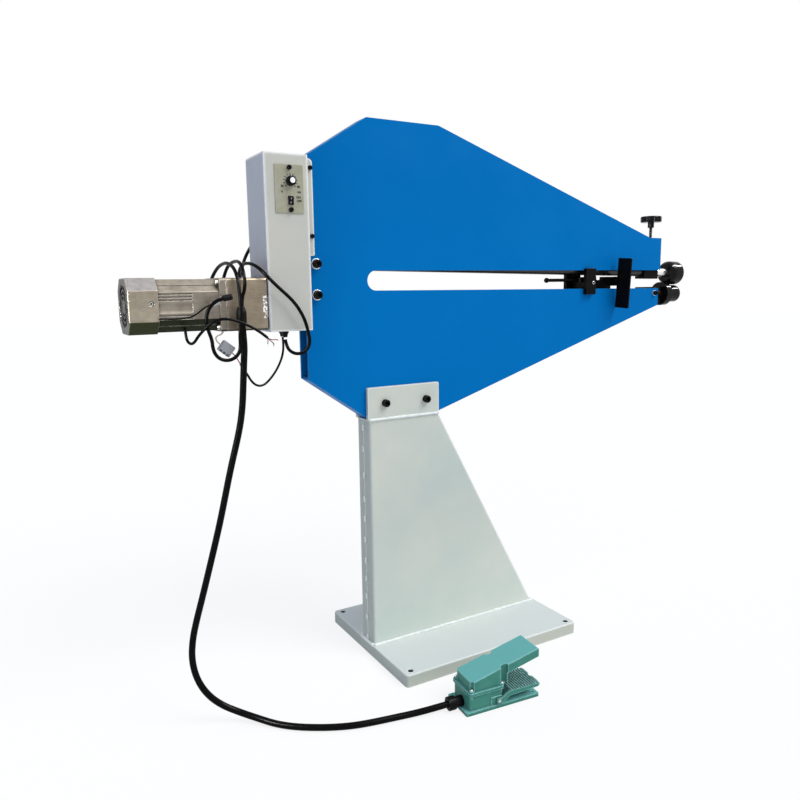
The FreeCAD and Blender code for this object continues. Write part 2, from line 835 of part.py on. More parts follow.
def guide_plate():
    """Upright stop for the sheet's edge, leaning slightly, with a tongue through the throat."""
    x1 = guide_x + guide_thick
    back = -half_width - 5.4
    front = back - guide_depth
    plate = prism_yz([(front, guide_bottom), (back, guide_bottom), (back, guide_top), (front, guide_top)],
                     guide_x, x1, 1.5)
    middle = (guide_bottom + guide_top) / 2
    plate.rotate(V(guide_x, (front + back) / 2, middle), V(1, 0, 0), guide_lean)
    tongue = box(guide_x, x1, back - 3, arm_thick / 2 + 4, throat_back_z + 2, arm_top)
    return fused([plate, tongue])


def clamp_lever():
    """Hub on the block's pin, a slim rod along the throat and a ball at its end."""
    low = block_top + guide_gap
    hub = rod_z(low, lever_z + 6, 10, lever_x)
    stem = rod_x(lever_tip_x, lever_x - 6, lever_dia / 2, 0, lever_z)
    ball = Part.makeSphere(lever_ball / 2, V(lever_tip_x, 0, lever_z))
    return fused([hub, stem, ball]).cut(rod_z(low, lever_z + 6.5, 4 + running, lever_x))


# Control box

def control_box():
    """Folded sheet box, closed on five sides, whose right side wraps round the frame's end."""
    outer = prism_xy(rectangle(box_left, box_right, -box_half, box_half), box_bottom, box_top, [4, 0, 0, 4])
    inner = prism_xy(rectangle(box_left + box_sheet, box_right - box_sheet, -box_half + box_sheet,
                               box_half - box_sheet), box_bottom + box_sheet, box_top - box_sheet, [2, 0, 0, 2])
    body = outer.cut(inner)
    body = body.cut(box(box_right - box_sheet, box_right, -half_width, half_width,
                        box_bottom, box_top - box_sheet))
    for side in (-1, 1):
        y0 = side * half_width
        low = min(y0, y0 + side * box_sheet)
        corners = [(box_right - box_sheet, flange_bottom), (flange_right, flange_bottom),
                   (flange_right, frame_top_left), (box_right - box_sheet, frame_top_left)]
        flange = prism_xz(corners, low, low + box_sheet, [0, 3, 10, 0])
        for z in flange_screw_z:
            flange = flange.cut(rod_y(low, low + box_sheet, m5 / 2 + running, flange_screw_x, z))
        body = body.fuse(flange)
    window = box(panel_left + 7, panel_right - 7, -box_half, -box_half + box_sheet,
                 panel_bottom + 12, panel_top - 12)
    body = body.cut(window)
    for x, z in panel_screw:
        body = body.cut(rod_y(-box_half, -box_half + box_sheet, m5 / 2 + running, x, z))
    for place, axis, size in gland_places():
        start = V(*place) - V(*axis) * 10
        body = body.cut(Part.makeCylinder(size / 2, 20, start, V(*axis)))
    body = body.cut(rod_x(box_left, box_left + box_sheet, 24, 0, lower_z))
    for y, z in gearbox_screw_places():
        body = body.cut(rod_x(box_left, box_left + box_sheet, m8 / 2 + running, y, z))
    return body


def gland_places():
    """Where cables enter the box: place on the wall, outward direction, thread diameter."""
    return (((-461, -34, box_bottom), (0, 0, -1), 10.0),
            ((-457, -8, box_bottom), (0, 0, -1), 10.0),
            ((-478, box_half, 1026), (0, 1, 0), 10.0))


def gearbox_screw_places():
    reach = motor_size / 2 - 11
    return [(sy * reach, lower_z + sz * reach) for sy in (-1, 1) for sz in (-1, 1)]


def motor_mount_plate():
    x0 = box_left + box_sheet
    half = motor_size / 2 - 2
    plate = prism_yz([(-half, lower_z - half), (half, lower_z - half), (half, lower_z + half),
                      (-half, lower_z + half)], x0, x0 + mount_plate_thick, 4)
    plate = plate.cut(rod_x(x0, x0 + mount_plate_thick, 24, 0, lower_z))
    for y, z in gearbox_screw_places():
        plate = plate.cut(rod_x(x0, x0 + mount_plate_thick, m8 / 2 + running, y, z))
    return plate


def box_screws():
    """Black screws of the box flanges and of the controller's front plate."""
    parts = []
    for side in (-1, 1):
        for z in flange_screw_z:
            parts.append(socket_screw((flange_screw_x, side * (half_width + box_sheet), z), (0, side, 0),
                                      m5, m5_head, box_sheet + plate_thick))
    for x, z in panel_screw:
        parts.append(socket_screw((x, -box_half - panel_thick, z), (0, -1, 0), m5, m5_head, panel_thick + 8))
    return group(parts)


def controller_panel():
    y0 = -box_half - panel_thick
    panel = prism_xz([(panel_left, panel_bottom), (panel_right, panel_bottom), (panel_right, panel_top),
                      (panel_left, panel_top)], y0, -box_half, 3)
    rim = [e for e in panel.Edges if abs(e.CenterOfMass.y - y0) < 0.01]
    panel = panel.makeFillet(0.8, rim)
    for x, z in panel_screw:
        panel = panel.cut(rod_y(y0, -box_half, m5 / 2 + running, x, z))
    panel = panel.cut(rod_y(y0, -box_half, 3.5, dial_x, dial_z))
    gap = guide_gap
    half_w = rocker_width / 2 - 1.5 + gap
    half_h = rocker_height / 2 - 1.5 + gap
    opening = box(rocker_x - half_w, rocker_x + half_w, y0 - 3, -box_half, rocker_z - half_h, rocker_z + half_h)
    bezel = prism_xz([(rocker_x - rocker_width / 2, rocker_z - rocker_height / 2),
                      (rocker_x + rocker_width / 2, rocker_z - rocker_height / 2),
                      (rocker_x + rocker_width / 2, rocker_z + rocker_height / 2),
                      (rocker_x - rocker_width / 2, rocker_z + rocker_height / 2)], y0 - 1.6, y0, 1.2)
    return fused([panel, bezel]).cut(opening)


def controller_housing():
    """Plastic case behind the front plate, with the wells of the dial and of the rocker, and its pin."""
    y1 = -box_half + 46
    body = box(panel_left + 8, panel_right - 8, -box_half, y1, panel_bottom + 13, panel_top - 13)
    upright = edges_along(body, (0, 1, 0), lambda p: True)
    body = body.makeFillet(3, upright)
    body = body.cut(rod_y(-box_half, -box_half + 12, 3 + running, dial_x, dial_z))
    reach = rocker_height / 2
    well = box(rocker_x - rocker_width / 2, rocker_x + rocker_width / 2, -box_half, -box_half + 13,
               rocker_z - reach, rocker_z + reach)
    pin = rod_x(rocker_x - rocker_width / 2 - 1, rocker_x + rocker_width / 2 + 1, rocker_pin_dia / 2,
                -box_half - panel_thick + rocker_pivot, rocker_z)
    return fused([body.cut(well), pin])


def speed_knob():
    """Dial knob with a fluted skirt, a raised cap and the shaft it turns on."""
    y0 = -box_half - panel_thick - guide_gap
    skirt = rod_y(y0 - 9, y0, dial_dia / 2, dial_x, dial_z)
    cap = rod_y(y0 - 14, y0 - 9, dial_dia / 2 - 2.6, dial_x, dial_z)
    cap = cap.makeFillet(1.2, [e for e in cap.Edges if abs(e.CenterOfMass.y - y0 + 14) < 0.01])
    flutes = []
    for i in range(12):
        angle = math.radians(30 * i)
        reach = dial_dia / 2 + 0.6
        flutes.append(rod_y(y0 - 9, y0 - 1.5, 1.4, dial_x + reach * math.sin(angle),
                            dial_z + reach * math.cos(angle)))
    stem = rod_y(y0, -box_half + 11.5, 3, dial_x, dial_z)
    return fused([skirt.cut(group(flutes)), cap, stem])


def rocker_switch():
    """Rocker with two sloping faces on its pivot pin, drawn tipped to one side."""
    half_w = rocker_width / 2 - 1.5
    half_h = rocker_height / 2 - 2.9
    top = 2.6
    outline = [(-top + 0.2, 0), (-top - 1.2, half_h), (3.0, half_h), (8.5, 2), (8.5, -2), (3.0, -half_h),
               (-top - 1.2, -half_h)]
    y0 = -box_half - panel_thick
    points = [V(rocker_x - half_w, y0 + y, rocker_z + z) for y, z in outline]
    body = prism(points, V(2 * half_w, 0, 0), [0, 0.8, 0, 1, 1, 0, 0.8])
    body.rotate(V(rocker_x, y0 + rocker_pivot, rocker_z), V(1, 0, 0), rocker_tilt)
    return body.cut(rod_x(rocker_x - half_w, rocker_x + half_w, rocker_pin_dia / 2 + running,
                          y0 + rocker_pivot, rocker_z))


# Gear motor

def gearbox():
    """Square gearbox case with softened edges, a pilot boss and a bore for its output shaft."""
    half = motor_size / 2
    case = prism_yz([(-half, lower_z - half), (half, lower_z - half), (half, lower_z + half),
                     (-half, lower_z + half)], gearbox_left, gearbox_right, 6)
    front = [e for e in case.Edges if abs(e.CenterOfMass.x - gearbox_right) < 0.01]
    case = case.makeChamfer(2.5, front)
    seam = frame_seam(gearbox_left + 1.2, 1.0, motor_size, 6, 0.8)
    boss = rod_x(gearbox_right, box_left + box_sheet, 23.5, 0, lower_z)
    case = fused([case.cut(seam), boss])
    return case.cut(rod_x(gearbox_right - 27, box_left + box_sheet, journal_dia / 2 + running, 0, lower_z))


def frame_seam(x, width, size, corner, depth):
    """A shallow groove right round a square case."""
    half = size / 2
    inner = half - depth
    ring = prism_yz([(-half - 1, lower_z - half - 1), (half + 1, lower_z - half - 1),
                     (half + 1, lower_z + half + 1), (-half - 1, lower_z + half + 1)], x, x + width)
    core = prism_yz([(-inner, lower_z - inner), (inner, lower_z - inner), (inner, lower_z + inner),
                     (-inner, lower_z + inner)], x, x + width, corner)
    return ring.cut(core)


def motor_flange():
    """End flange of the motor: square, with its four corners cut back for the long screws."""
    half = motor_size / 2
    body = prism_yz([(-half, lower_z - half), (half, lower_z - half), (half, lower_z + half),
                     (-half, lower_z + half)], motor_flange_left, gearbox_left, 6)
    for y, z in motor_screw_places():
        body = body.cut(rod_x(motor_flange_left, gearbox_left, 3, y, z))
    return body


def motor_screw_places():
    reach = motor_size / 2 - 9
    return [(sy * reach, lower_z + sz * reach) for sy in (-1, 1) for sz in (-1, 1)]


def motor_body():
    """Extruded motor housing: chamfered square with bands of ribs on each flat for half its length."""
    body = prism_yz(octagon(motor_body_size, motor_chamfer, lower_z), motor_body_left, motor_flange_left, 2)
    rib_end = motor_body_left + 0.55 * motor_body_length
    flat_face = motor_body_size / 2
    cutters = []
    for offset in (23.5, 17.5, 11.5, -19.5, -25.5):
        cutters.append(box(motor_body_left - 1, rib_end, -flat_face - 1, -flat_face + 1.6, offset - 1.5, offset + 1.5))
    hollow = rod_x(motor_body_left - 1, rib_end, 30, -flat_face - 28.2, -5)
    corner = box(motor_body_left - 1, motor_flange_left, -1.2, 1.2, -1.4, 1.4)
    corner.rotate(V(0, 0, 0), V(1, 0, 0), 45)
    reach = (motor_body_size - motor_chamfer) / 2
    corner.translate(V(0, -reach, reach))
    cutters += [hollow, corner]
    for quarter in range(4):
        for cutter in cutters:
            turned = cutter.copy()
            turned.rotate(V(0, 0, 0), V(1, 0, 0), 90 * quarter)
            turned.translate(V(0, 0, lower_z))
            body = body.cut(turned)
    return body


def motor_rear_cap():
    """Fan cowl: a chamfered square shell, open at the back, with counterbored screw holes."""
    body = prism_yz(octagon(motor_cap_size, motor_chamfer, lower_z), motor_cap_left, motor_body_left, 2)
    rim = [e for e in body.Edges if abs(e.CenterOfMass.x - motor_cap_left) < 0.01]
    body = body.makeChamfer(1.5, rim)
    body = body.cut(rod_x(motor_cap_left, motor_cap_left + 48, grille_radius, 0, lower_z))
    body = body.cut(rod_x(motor_cap_left + 48, motor_body_left, motor_shaft_dia / 2 + running, 0, lower_z))
    for side in (-1, 1):
        y1 = side * motor_cap_size / 2
        y0 = y1 - side * 7
        body = body.cut(rod_y(min(y0, y1), max(y0, y1), 5.2, motor_body_left - 13, lower_z + 5))
        body = body.cut(rod_y(min(y0 - side, y1), max(y0 - side, y1), 2.6, motor_body_left - 13, lower_z + 5))
    return body


def rear_grille():
    """Wire guard over the fan: rings and spokes, with a solid boss in the middle."""
    x0 = motor_cap_left + 1
    thick = 2.4
    rings = []
    for radius in (grille_radius - 0.1, 34, 24):
        rings.append(rod_x(x0, x0 + thick, radius, 0, lower_z).cut(
            rod_x(x0, x0 + thick, radius - 2.6, 0, lower_z)))
    rings.append(rod_x(x0, x0 + thick, 15, 0, lower_z))
    for i in range(6):
        spoke = box(x0, x0 + thick, -1.3, 1.3, 14, grille_radius - 1.5)
        spoke.rotate(V(0, 0, 0), V(1, 0, 0), 60 * i)
        spoke.translate(V(0, 0, lower_z))
        rings.append(spoke)
    return fused(rings)


def cooling_fan():
    """Fan with curved blades on a hub, and the shaft end that carries it."""
    x0 = motor_cap_left + 12
    width = 22
    hub = rod_x(x0, x0 + width, 12)
    back = rod_x(x0 + width, x0 + width + 2, fan_radius)
    stem = rod_x(x0 + width, motor_body_left - 4, motor_shaft_dia / 2)
    parts = [hub, back, stem]
    for i in range(7):
        outer = rod_x(x0, x0 + width + 0.5, 24, 12, 22)
        inner = rod_x(x0, x0 + width + 0.5, 22.4, 12, 22)
        blade = outer.cut(inner).common(box(x0, x0 + width + 0.5, -13, 3, 4, 40))
        blade = blade.common(rod_x(x0, x0 + width + 0.5, fan_radius))
        blade.rotate(V(0, 0, 0), V(1, 0, 0), 360 * i / 7)
        parts.append(blade)
    return lowered(fused(parts))


def motor_screws():
    """Bright screws: four through the motor flange, two in the rear cap."""
    parts = []
    for y, z in motor_screw_places():
        parts.append(socket_screw((motor_flange_left, y, z), (-1, 0, 0), 6, 10, motor_flange_length))
    for side in (-1, 1):
        seat = (motor_body_left - 13, side * (motor_cap_size / 2 - 7), lower_z + 5)
        parts.append(socket_screw(seat, (0, side, 0), 5, 8.6, 0.5))
    return group(parts)


# Cable glands

def gland(place, axis, thread, hexagon_size, bore):
    """Hexagon body, domed nut and a short thread through the wall."""
    place = V(*place)
    axis = V(*axis)
    body = Part.Face(Part.Wire(Part.makePolygon(close(hexagon(place, axis, hexagon_size)))))
    body = body.extrude(axis * (0.4 * hexagon_size))
    nut = Part.makeCone(hexagon_size * 0.48, hexagon_size * 0.34, 0.6 * hexagon_size,
                        place + axis * (0.4 * hexagon_size), axis)
    stem = Part.makeCylinder(thread / 2 - running, 6, place - axis * 6, axis)
    whole = fused([body, nut, stem])
    return whole.cut(Part.makeCylinder(bore / 2 + 0.3, hexagon_size, place + axis * 2, axis))


def foot_point(a, b, z):
    """A point of the foot switch, given in its own frame."""
    turn = math.radians(foot_turn)
    return V(foot_corner.x + a * math.cos(turn) - b * math.sin(turn),
             foot_corner.y + a * math.sin(turn) + b * math.cos(turn), z)


def foot_placed(shape):
    shape.rotate(V(0, 0, 0), V(0, 0, 1), foot_turn)
    shape.translate(foot_corner)
    return shape


foot_gland_b = 40.0
foot_gland_z = 16.0


def cable_glands():
    parts = []
    bores = (cable_dia, lead_dia, cable_dia)
    for (place, axis, thread), bore in zip(gland_places(), bores):
        parts.append(gland(place, axis, thread, 14, bore))
    foot = fused([rod_x(-8, case_left + foot_wall, 12, foot_gland_b, foot_gland_z),
                  rod_x(-26, -8, 14, foot_gland_b, foot_gland_z)])
    foot = foot.makeChamfer(2, [e for e in foot.Edges if abs(e.CenterOfMass.x + 26) < 0.01])
    foot = foot.cut(rod_x(-26, -6, foot_cable_dia / 2 + 0.8, foot_gland_b, foot_gland_z))
    parts.append(foot_placed(foot))
    return group(parts)


# Foot switch

def foot_housing():
    """Cast base and switch case: open inside, with a lip, a hinge boss on each side and screw holes."""
    base = prism_xy(rectangle(0, foot_length, 0, foot_width), 0, foot_base, 3)
    left = case_left
    case = prism_xy(rectangle(left, housing_end, 4, lip_width - 4), foot_base, housing_top, 5)
    lip = prism_xy(rectangle(left - 2, housing_end + 2, 0, lip_width), housing_top, housing_top + lip_thick, 5)
    inside = prism_xy(rectangle(left + foot_wall, housing_end - foot_wall, 4 + foot_wall, lip_width - 4 - foot_wall),
                      foot_base, housing_top + lip_thick, 3)
    boss = prism_xz([(treadle_hinge_a - 18, foot_base), (treadle_hinge_a + 12, foot_base),
                     (treadle_hinge_a + 12, treadle_hinge_z + 9), (treadle_hinge_a - 18, treadle_hinge_z + 9)],
                    treadle_front + 5.3, 9, [0, 0, 6, 2])
    far = boss.mirror(V(0, (treadle_front * 2 + treadle_width) / 2, 0), V(0, 1, 0))
    body = fused([base, case.cut(inside), lip.cut(inside), boss, far])
    mouth_left = housing_end - foot_wall - 1
    mouth = box(mouth_left, housing_end + 3, 13, treadle_front + treadle_width + 1.5, foot_base, 42)
    body = body.cut(mouth)
    y0 = treadle_front + treadle_width / 2
    body = body.cut(rod_y(y0 - 45, y0 + 45, 3 + running, treadle_hinge_a, treadle_hinge_z))
    body = body.cut(rod_x(0, left + foot_wall, 12 + push_fit, foot_gland_b, foot_gland_z))
    for a, b in ((foot_length - 10, 10), (foot_length - 10, foot_width - 10), (1.0 + 9, foot_width - 4)):
        body = body.cut(rod_z(0, foot_base, 2.6, a, b))
    for a, b in lid_screw_places():
        body = body.cut(rod_z(housing_top - 8, housing_top + lip_thick, 2, a, b))
    return foot_placed(body)


def lid_screw_places():
    return ((15.0, 6.0), (15.0, lip_width - 6.0), (housing_end - 1, 6.0), (housing_end - 1, lip_width - 6.0))


def foot_hood():
    """Cast lid that rises into the guard over the treadle; hollow below, waisted at its two screws."""
    slope = math.tan(math.radians(hood_rise))
    floor = housing_top + lip_thick
    end = foot_length + 1

    def top(a):
        return hood_low + slope * (a - hood_start)

    side = [(hood_start, floor), (notch_right, floor), (notch_right, top(notch_right) - skirt_depth),
            (end, top(end) - skirt_depth), (end, top(end)), (hood_start, top(hood_start))]
    solid = prism_xz(side, hood_front, hood_back, [0, 0, 3, 0, 0, 0])
    rim = [e for e in solid.Edges if e.Length > 60 and e.CenterOfMass.z > floor + 20
           and abs(e.CenterOfMass.z - top(e.CenterOfMass.x)) < 0.5]
    solid = solid.makeFillet(2, rim)
    hood = solid
    for start, finish in ((hood_start + foot_wall + 6, notch_left - 3), (notch_right + 2, end + 1)):
        corners = [(start, floor - 1), (finish, floor - 1), (finish, top(finish) - foot_wall),
                   (start, top(start) - foot_wall)]
        hood = hood.cut(prism_xz(corners, hood_front + foot_wall, hood_back - foot_wall))
    for b in (hood_front, hood_back):
        hood = hood.cut(rod_z(floor - 1, 130, (notch_right - notch_left) / 2, (notch_left + notch_right) / 2, b))
    for a, b in lid_screw_places()[:2]:
        hood = hood.cut(rod_z(floor + lid_tab_thick, 130, lid_tab_radius + 0.2, a, b))
    tabs = [rod_z(floor, floor + lid_tab_thick, lid_tab_radius, a, b) for a, b in lid_screw_places()]
    hood = fused([hood] + tabs)
    for a, b in lid_screw_places():
        hood = hood.cut(rod_z(floor, floor + lid_tab_thick, 2.2, a, b))
    return foot_placed(hood)


def foot_fasteners():
    """Four lid screws and the treadle's hinge pin."""
    parts = []
    top = housing_top + lip_thick + lid_tab_thick
    for a, b in lid_screw_places():
        parts.append(socket_screw((a, b, top), (0, 0, 1), 3.6, 6.6, 11))
    middle = treadle_front + treadle_width / 2
    parts.append(rod_y(middle - treadle_width / 2 - 1, middle + treadle_width / 2 + 1, 3,
                       treadle_hinge_a, treadle_hinge_z))
    return foot_placed(group(parts))


def foot_treadle():
    """Ribbed treadle on two cranked arms that reach back to the hinge pin."""
    front = treadle_front
    back = treadle_front + treadle_width
    start = 110.0
    toe = foot_length - 1
    plate = prism_xy([(start, front), (toe, front), (toe, back), (start, back)],
                     treadle_top - treadle_thick, treadle_top - 2.4, [2, 6, 6, 2])
    notch = rod_z(treadle_top - 20, treadle_top + 5, 8, toe + 2, (front + back) / 2)
    ribs = []
    pitch = (toe - start - 9) / treadle_ribs
    for i in range(treadle_ribs):
        a = start + 2 + pitch * i
        ribs.append(box(a, a + 0.5 * pitch, front, back, treadle_top - 2.6, treadle_top))
    edge = box(toe - 7, toe - 1, front + 6, back - 6, treadle_top - 2.6, treadle_top)
    arms = []
    for b0 in (front, back - 4.7):
        outline = [(treadle_hinge_a - 6, treadle_hinge_z - 6), (treadle_hinge_a + 8, treadle_hinge_z - 6),
                   (treadle_hinge_a + 28, treadle_top - treadle_thick - 7), (toe - 4, treadle_top - treadle_thick - 4),
                   (toe, treadle_top - treadle_thick), (toe, treadle_top - 2.4),
                   (start, treadle_top - 2.4), (start - 6, treadle_top - 4),
                   (treadle_hinge_a + 6, treadle_hinge_z + 6), (treadle_hinge_a - 6, treadle_hinge_z + 6)]
        arms.append(prism_xz(outline, b0, b0 + 4.7, [5.8, 0, 4, 2, 0, 0, 0, 3, 3, 5.8]))
    body = fused([plate, edge] + ribs + arms).cut(notch)
    bore = rod_y(front - 1, back + 1, 3 + running, treadle_hinge_a, treadle_hinge_z)
    return foot_placed(body.cut(bore))


# Cables

foot_cable_route = [
    (-226.4, -321.9, 16), (-267.6, -313.4, 12.2), (-307.7, -300.9, 7.5), (-349, -291.8, 7),
    (-390.6, -284, 7.2), (-431.5, -273.4, 7.1), (-470.5, -256.9, 7.1), (-507.1, -235.8, 7.1),
    (-541.7, -211.5, 7), (-572.2, -182.2, 7.5), (-599.1, -149.7, 11.3), (-629.8, -122.3, 20.8),
    (-664, -106.7, 40.1), (-692.3, -101, 71), (-710.4, -93.1, 108.4), (-715.5, -81.8, 148.8),
    (-708.9, -74.4, 189.9), (-697, -72.3, 230.4), (-684.2, -72, 270.7), (-672, -71.9, 311.2),
    (-660, -72.2, 351.8), (-648.3, -73, 392.5), (-637.1, -73.9, 433.2), (-626.6, -74.3, 474.2),
    (-616.3, -74.2, 515.3), (-605.4, -74, 556.2), (-593.5, -74, 596.8), (-582.8, -74, 637.7),
    (-576.2, -74.1, 679.5), (-572.8, -74, 721.7), (-569.3, -73.8, 763.9), (-566, -74.4, 806.1),
    (-570, -75, 848)]

control_cable_route = [
    (-568, -75, 880.2), (-567.3, -75, 899.4), (-560.4, -72.9, 913.5), (-558, -70.8, 929),
    (-557.8, -66.2, 944.1), (-557, -57.3, 957.1), (-556.3, -44.8, 966.8), (-555.7, -30.1, 972.6),
    (-555.1, -14.4, 974.8), (-555.2, 1.4, 975), (-556, 17.2, 973.4), (-557, 32.6, 969.8),
    (-558, 47.1, 963.5), (-559.2, 59.3, 953.5), (-560.4, 69.6, 941.5), (-560.9, 78.4, 928.3),
    (-561.2, 85, 913.9), (-561.7, 89.8, 898.8), (-562.1, 93.6, 883.4), (-560.6, 97, 867.8),
    (-553.1, 99.5, 854.1), (-539.6, 100.7, 846.4), (-524, 100.5, 847.3), (-511.4, 99, 856.5),
    (-505.6, 96.5, 871), (-505.9, 93.8, 886.8), (-506.7, 89.1, 901.9), (-514.3, 84.2, 914.6),
    (-518.4, 78.5, 928.5), (-522.7, 70.6, 941.4), (-527.9, 60.1, 952), (-529.7, 47.1, 960.8),
    (-530, 32.5, 967), (-530.1, 17, 970.3), (-529.3, 1.2, 971.3), (-527.4, -14.5, 970.4),
    (-524.4, -29.8, 967.3), (-520.9, -44.4, 962.1), (-516.9, -57.8, 954.7), (-510.7, -68.2, 944.7),
    (-501.4, -73.6, 933), (-490.3, -75.1, 921.8), (-478.5, -75.3, 911.2), (-466.7, -75.4, 900.6),
    (-455.6, -75.6, 889.3), (-445.9, -75.8, 876.7), (-437.6, -75.6, 863.3), (-430.6, -74.8, 849),
    (-425.1, -73.2, 834.2), (-420.9, -69.8, 819.4), (-415.6, -64.9, 805), (-417.6, -62.3, 789.3),
    (-427.1, -58, 777.7), (-440.3, -50.9, 773.7), (-452.2, -42.1, 778.6), (-458.7, -34.8, 790.6),
    (-461, -34, 806)]

motor_cable_route = [
    (-478, 72, 1026), (-481, 86.3, 1021), (-487.1, 95.8, 1010.3), (-495, 97.5, 997), (-502.3, 96.3, 983.2),
    (-507.4, 96, 968.5), (-511.2, 96, 953.4), (-515.1, 96.6, 938.3), (-520, 97.7, 923.5),
    (-526.3, 99.1, 909.3), (-532.8, 101.7, 895.2), (-542.6, 103.1, 883.2), (-557.3, 104.3, 878),
    (-572.5, 102.5, 880.6), (-584.1, 100.4, 890.9), (-588.6, 95.1, 905.3), (-588, 89.5, 919.8),
    (-586.3, 82.5, 933.7), (-583.7, 73, 945.7), (-581.2, 61, 955.3), (-579.4, 47.3, 962.6),
    (-578, 32.5, 967.3), (-577.1, 17.1, 970), (-576.6, 1.6, 971.3), (-575.9, -14, 970.8),
    (-574.7, -29.2, 967.9), (-573.7, -43.8, 962.4), (-573.1, -56.8, 953.8), (-572.8, -67.2, 942.2),
    (-573, -74.6, 928.4), (-573.6, -80.1, 913.9), (-574.1, -84.2, 898.8), (-574.6, -87, 883.5),
    (-575.6, -88.4, 868), (-576.9, -89, 852.4), (-578.1, -89.1, 836.8), (-579.4, -88.8, 821.3),
    (-578.7, -86.8, 805.8), (-580.4, -87.2, 790.3), (-589.9, -86.9, 778), (-604.4, -86.5, 772.4),
    (-619.8, -86.3, 775.2), (-631.4, -86.4, 785.6), (-636, -86.2, 800.5), (-636.3, -85, 816),
    (-641.1, -84.3, 830.8), (-644.9, -83.6, 846), (-644.8, -83, 861.5), (-640, -82.3, 876.3),
    (-630.2, -81.6, 888.4), (-616.8, -80.8, 896.5), (-600.5, -80.3, 899.5)]

hanging_lead_route = [
    (-457, -8, 810), (-456.5, -9, 795.9), (-458.2, -12.2, 782.2), (-462.4, -15.8, 769.2),
    (-468.7, -20, 757.2), (-476.4, -24.7, 746.3), (-485, -29.6, 736.2), (-494.6, -34.4, 726.9),
    (-504.9, -39.6, 718.7), (-516.1, -45, 712), (-529, -50.5, 709.9), (-541.6, -54.7, 714.8),
    (-551, -56.7, 725.2), (-557.6, -57.7, 737.6), (-565.4, -59.8, 749.2), (-573, -62, 761)]

spare_lead_route = [
    (-676, -34, 835.3), (-675.9, -36.9, 819.6), (-674.3, -46.2, 810.3), (-671, -58.8, 807.7),
    (-667.4, -70.6, 812.5), (-663.2, -78.6, 822.1), (-657.3, -86, 831.4), (-650.1, -92.3, 840.5),
    (-641.4, -97.7, 849), (-630.4, -101.3, 855.4), (-617.6, -103.1, 858.2), (-604.4, -103.7, 857.4),
    (-591.5, -103.9, 854.1), (-579.1, -103.6, 849.4), (-567.1, -102.4, 844), (-555.4, -100.6, 838),
    (-544.2, -98.4, 831.4), (-533.3, -96.1, 824.1), (-523, -94, 816)]

wire_route = [
    (-730.5, -57.9, 860), (-715.2, -59, 859.5), (-702.5, -59.9, 859.3), (-689.7, -61.1, 859.7),
    (-677.1, -62.9, 860.8), (-665.2, -65.8, 864.3), (-655.1, -67.5, 871), (-645.5, -67.5, 878.8),
    (-634.3, -67.5, 884.9), (-622.1, -67.5, 888)]


def cord(name, route, dia):
    """Round cord along straight runs joined by the largest tangent arcs; prints its radii and volume."""
    points = [V(*p) for p in route]
    runs = [(b - a).Length for a, b in zip(points, points[1:])]
    edges = []
    length = 0.0
    at = points[0]
    radii = []
    for i in range(1, len(points) - 1):
        back = (points[i - 1] - points[i]).normalize()
        ahead = (points[i + 1] - points[i]).normalize()
        turn = math.pi - back.getAngle(ahead)
        reach = 0.45 * min(runs[i - 1], runs[i])
        radius = reach / math.tan(turn / 2)
        radii.append(radius)
        start = points[i] + back * reach
        end = points[i] + ahead * reach
        middle = points[i] + (back + ahead).normalize() * (radius / math.cos(turn / 2) - radius)
        edges.append(Part.LineSegment(at, start).toShape())
        edges.append(Part.Arc(start, middle, end).toShape())
        length += (start - at).Length + radius * turn
        at = end
    edges.append(Part.LineSegment(at, points[-1]).toShape())
    length += (points[-1] - at).Length
    path = Part.Wire(edges)
    ring = Part.Wire([Part.Circle(points[0], points[1] - points[0], dia / 2).toShape()])
    tube = path.makePipeShell([ring], True, False, 2)
    expected = math.pi * dia * dia / 4 * length
    print("%s: length %.0f mm, radii %s, volume %.4f of section x length" % (
        name, length, [round(r) for r in radii], tube.Volume / expected))
    return tube


def cable_boots():
    """The sleeve where the thick cable ends and two thinner ones leave, and the motor's plug boots."""
    base = V(*foot_cable_route[-1])
    sleeve = rod_z(base.z, base.z + 22, 10.5, base.x, base.y)
    tip = Part.makeCone(10.5, 7.5, 10, V(base.x, base.y, base.z + 22), V(0, 0, 1))
    boot = fused([sleeve, tip])
    boot = boot.cut(rod_z(base.z, base.z + 16, foot_cable_dia / 2 + push_fit, base.x, base.y))
    parts = [boot]
    for route, dia, radius in ((motor_cable_route, cable_dia, 6.2), (wire_route, wire_dia, 4.4)):
        tip = V(*route[-1])
        along = (tip - V(*route[-2])).normalize()
        plug = Part.makeCylinder(radius, 19, tip - along * 8, along)
        plug = plug.makeFillet(1.5, [e for e in plug.Edges if e.Length > 6 and e.Closed])
        parts.append(plug.cut(Part.makeCylinder(dia / 2 + 0.3, 8.5, tip - along * 8.2, along)))
    return group(parts)


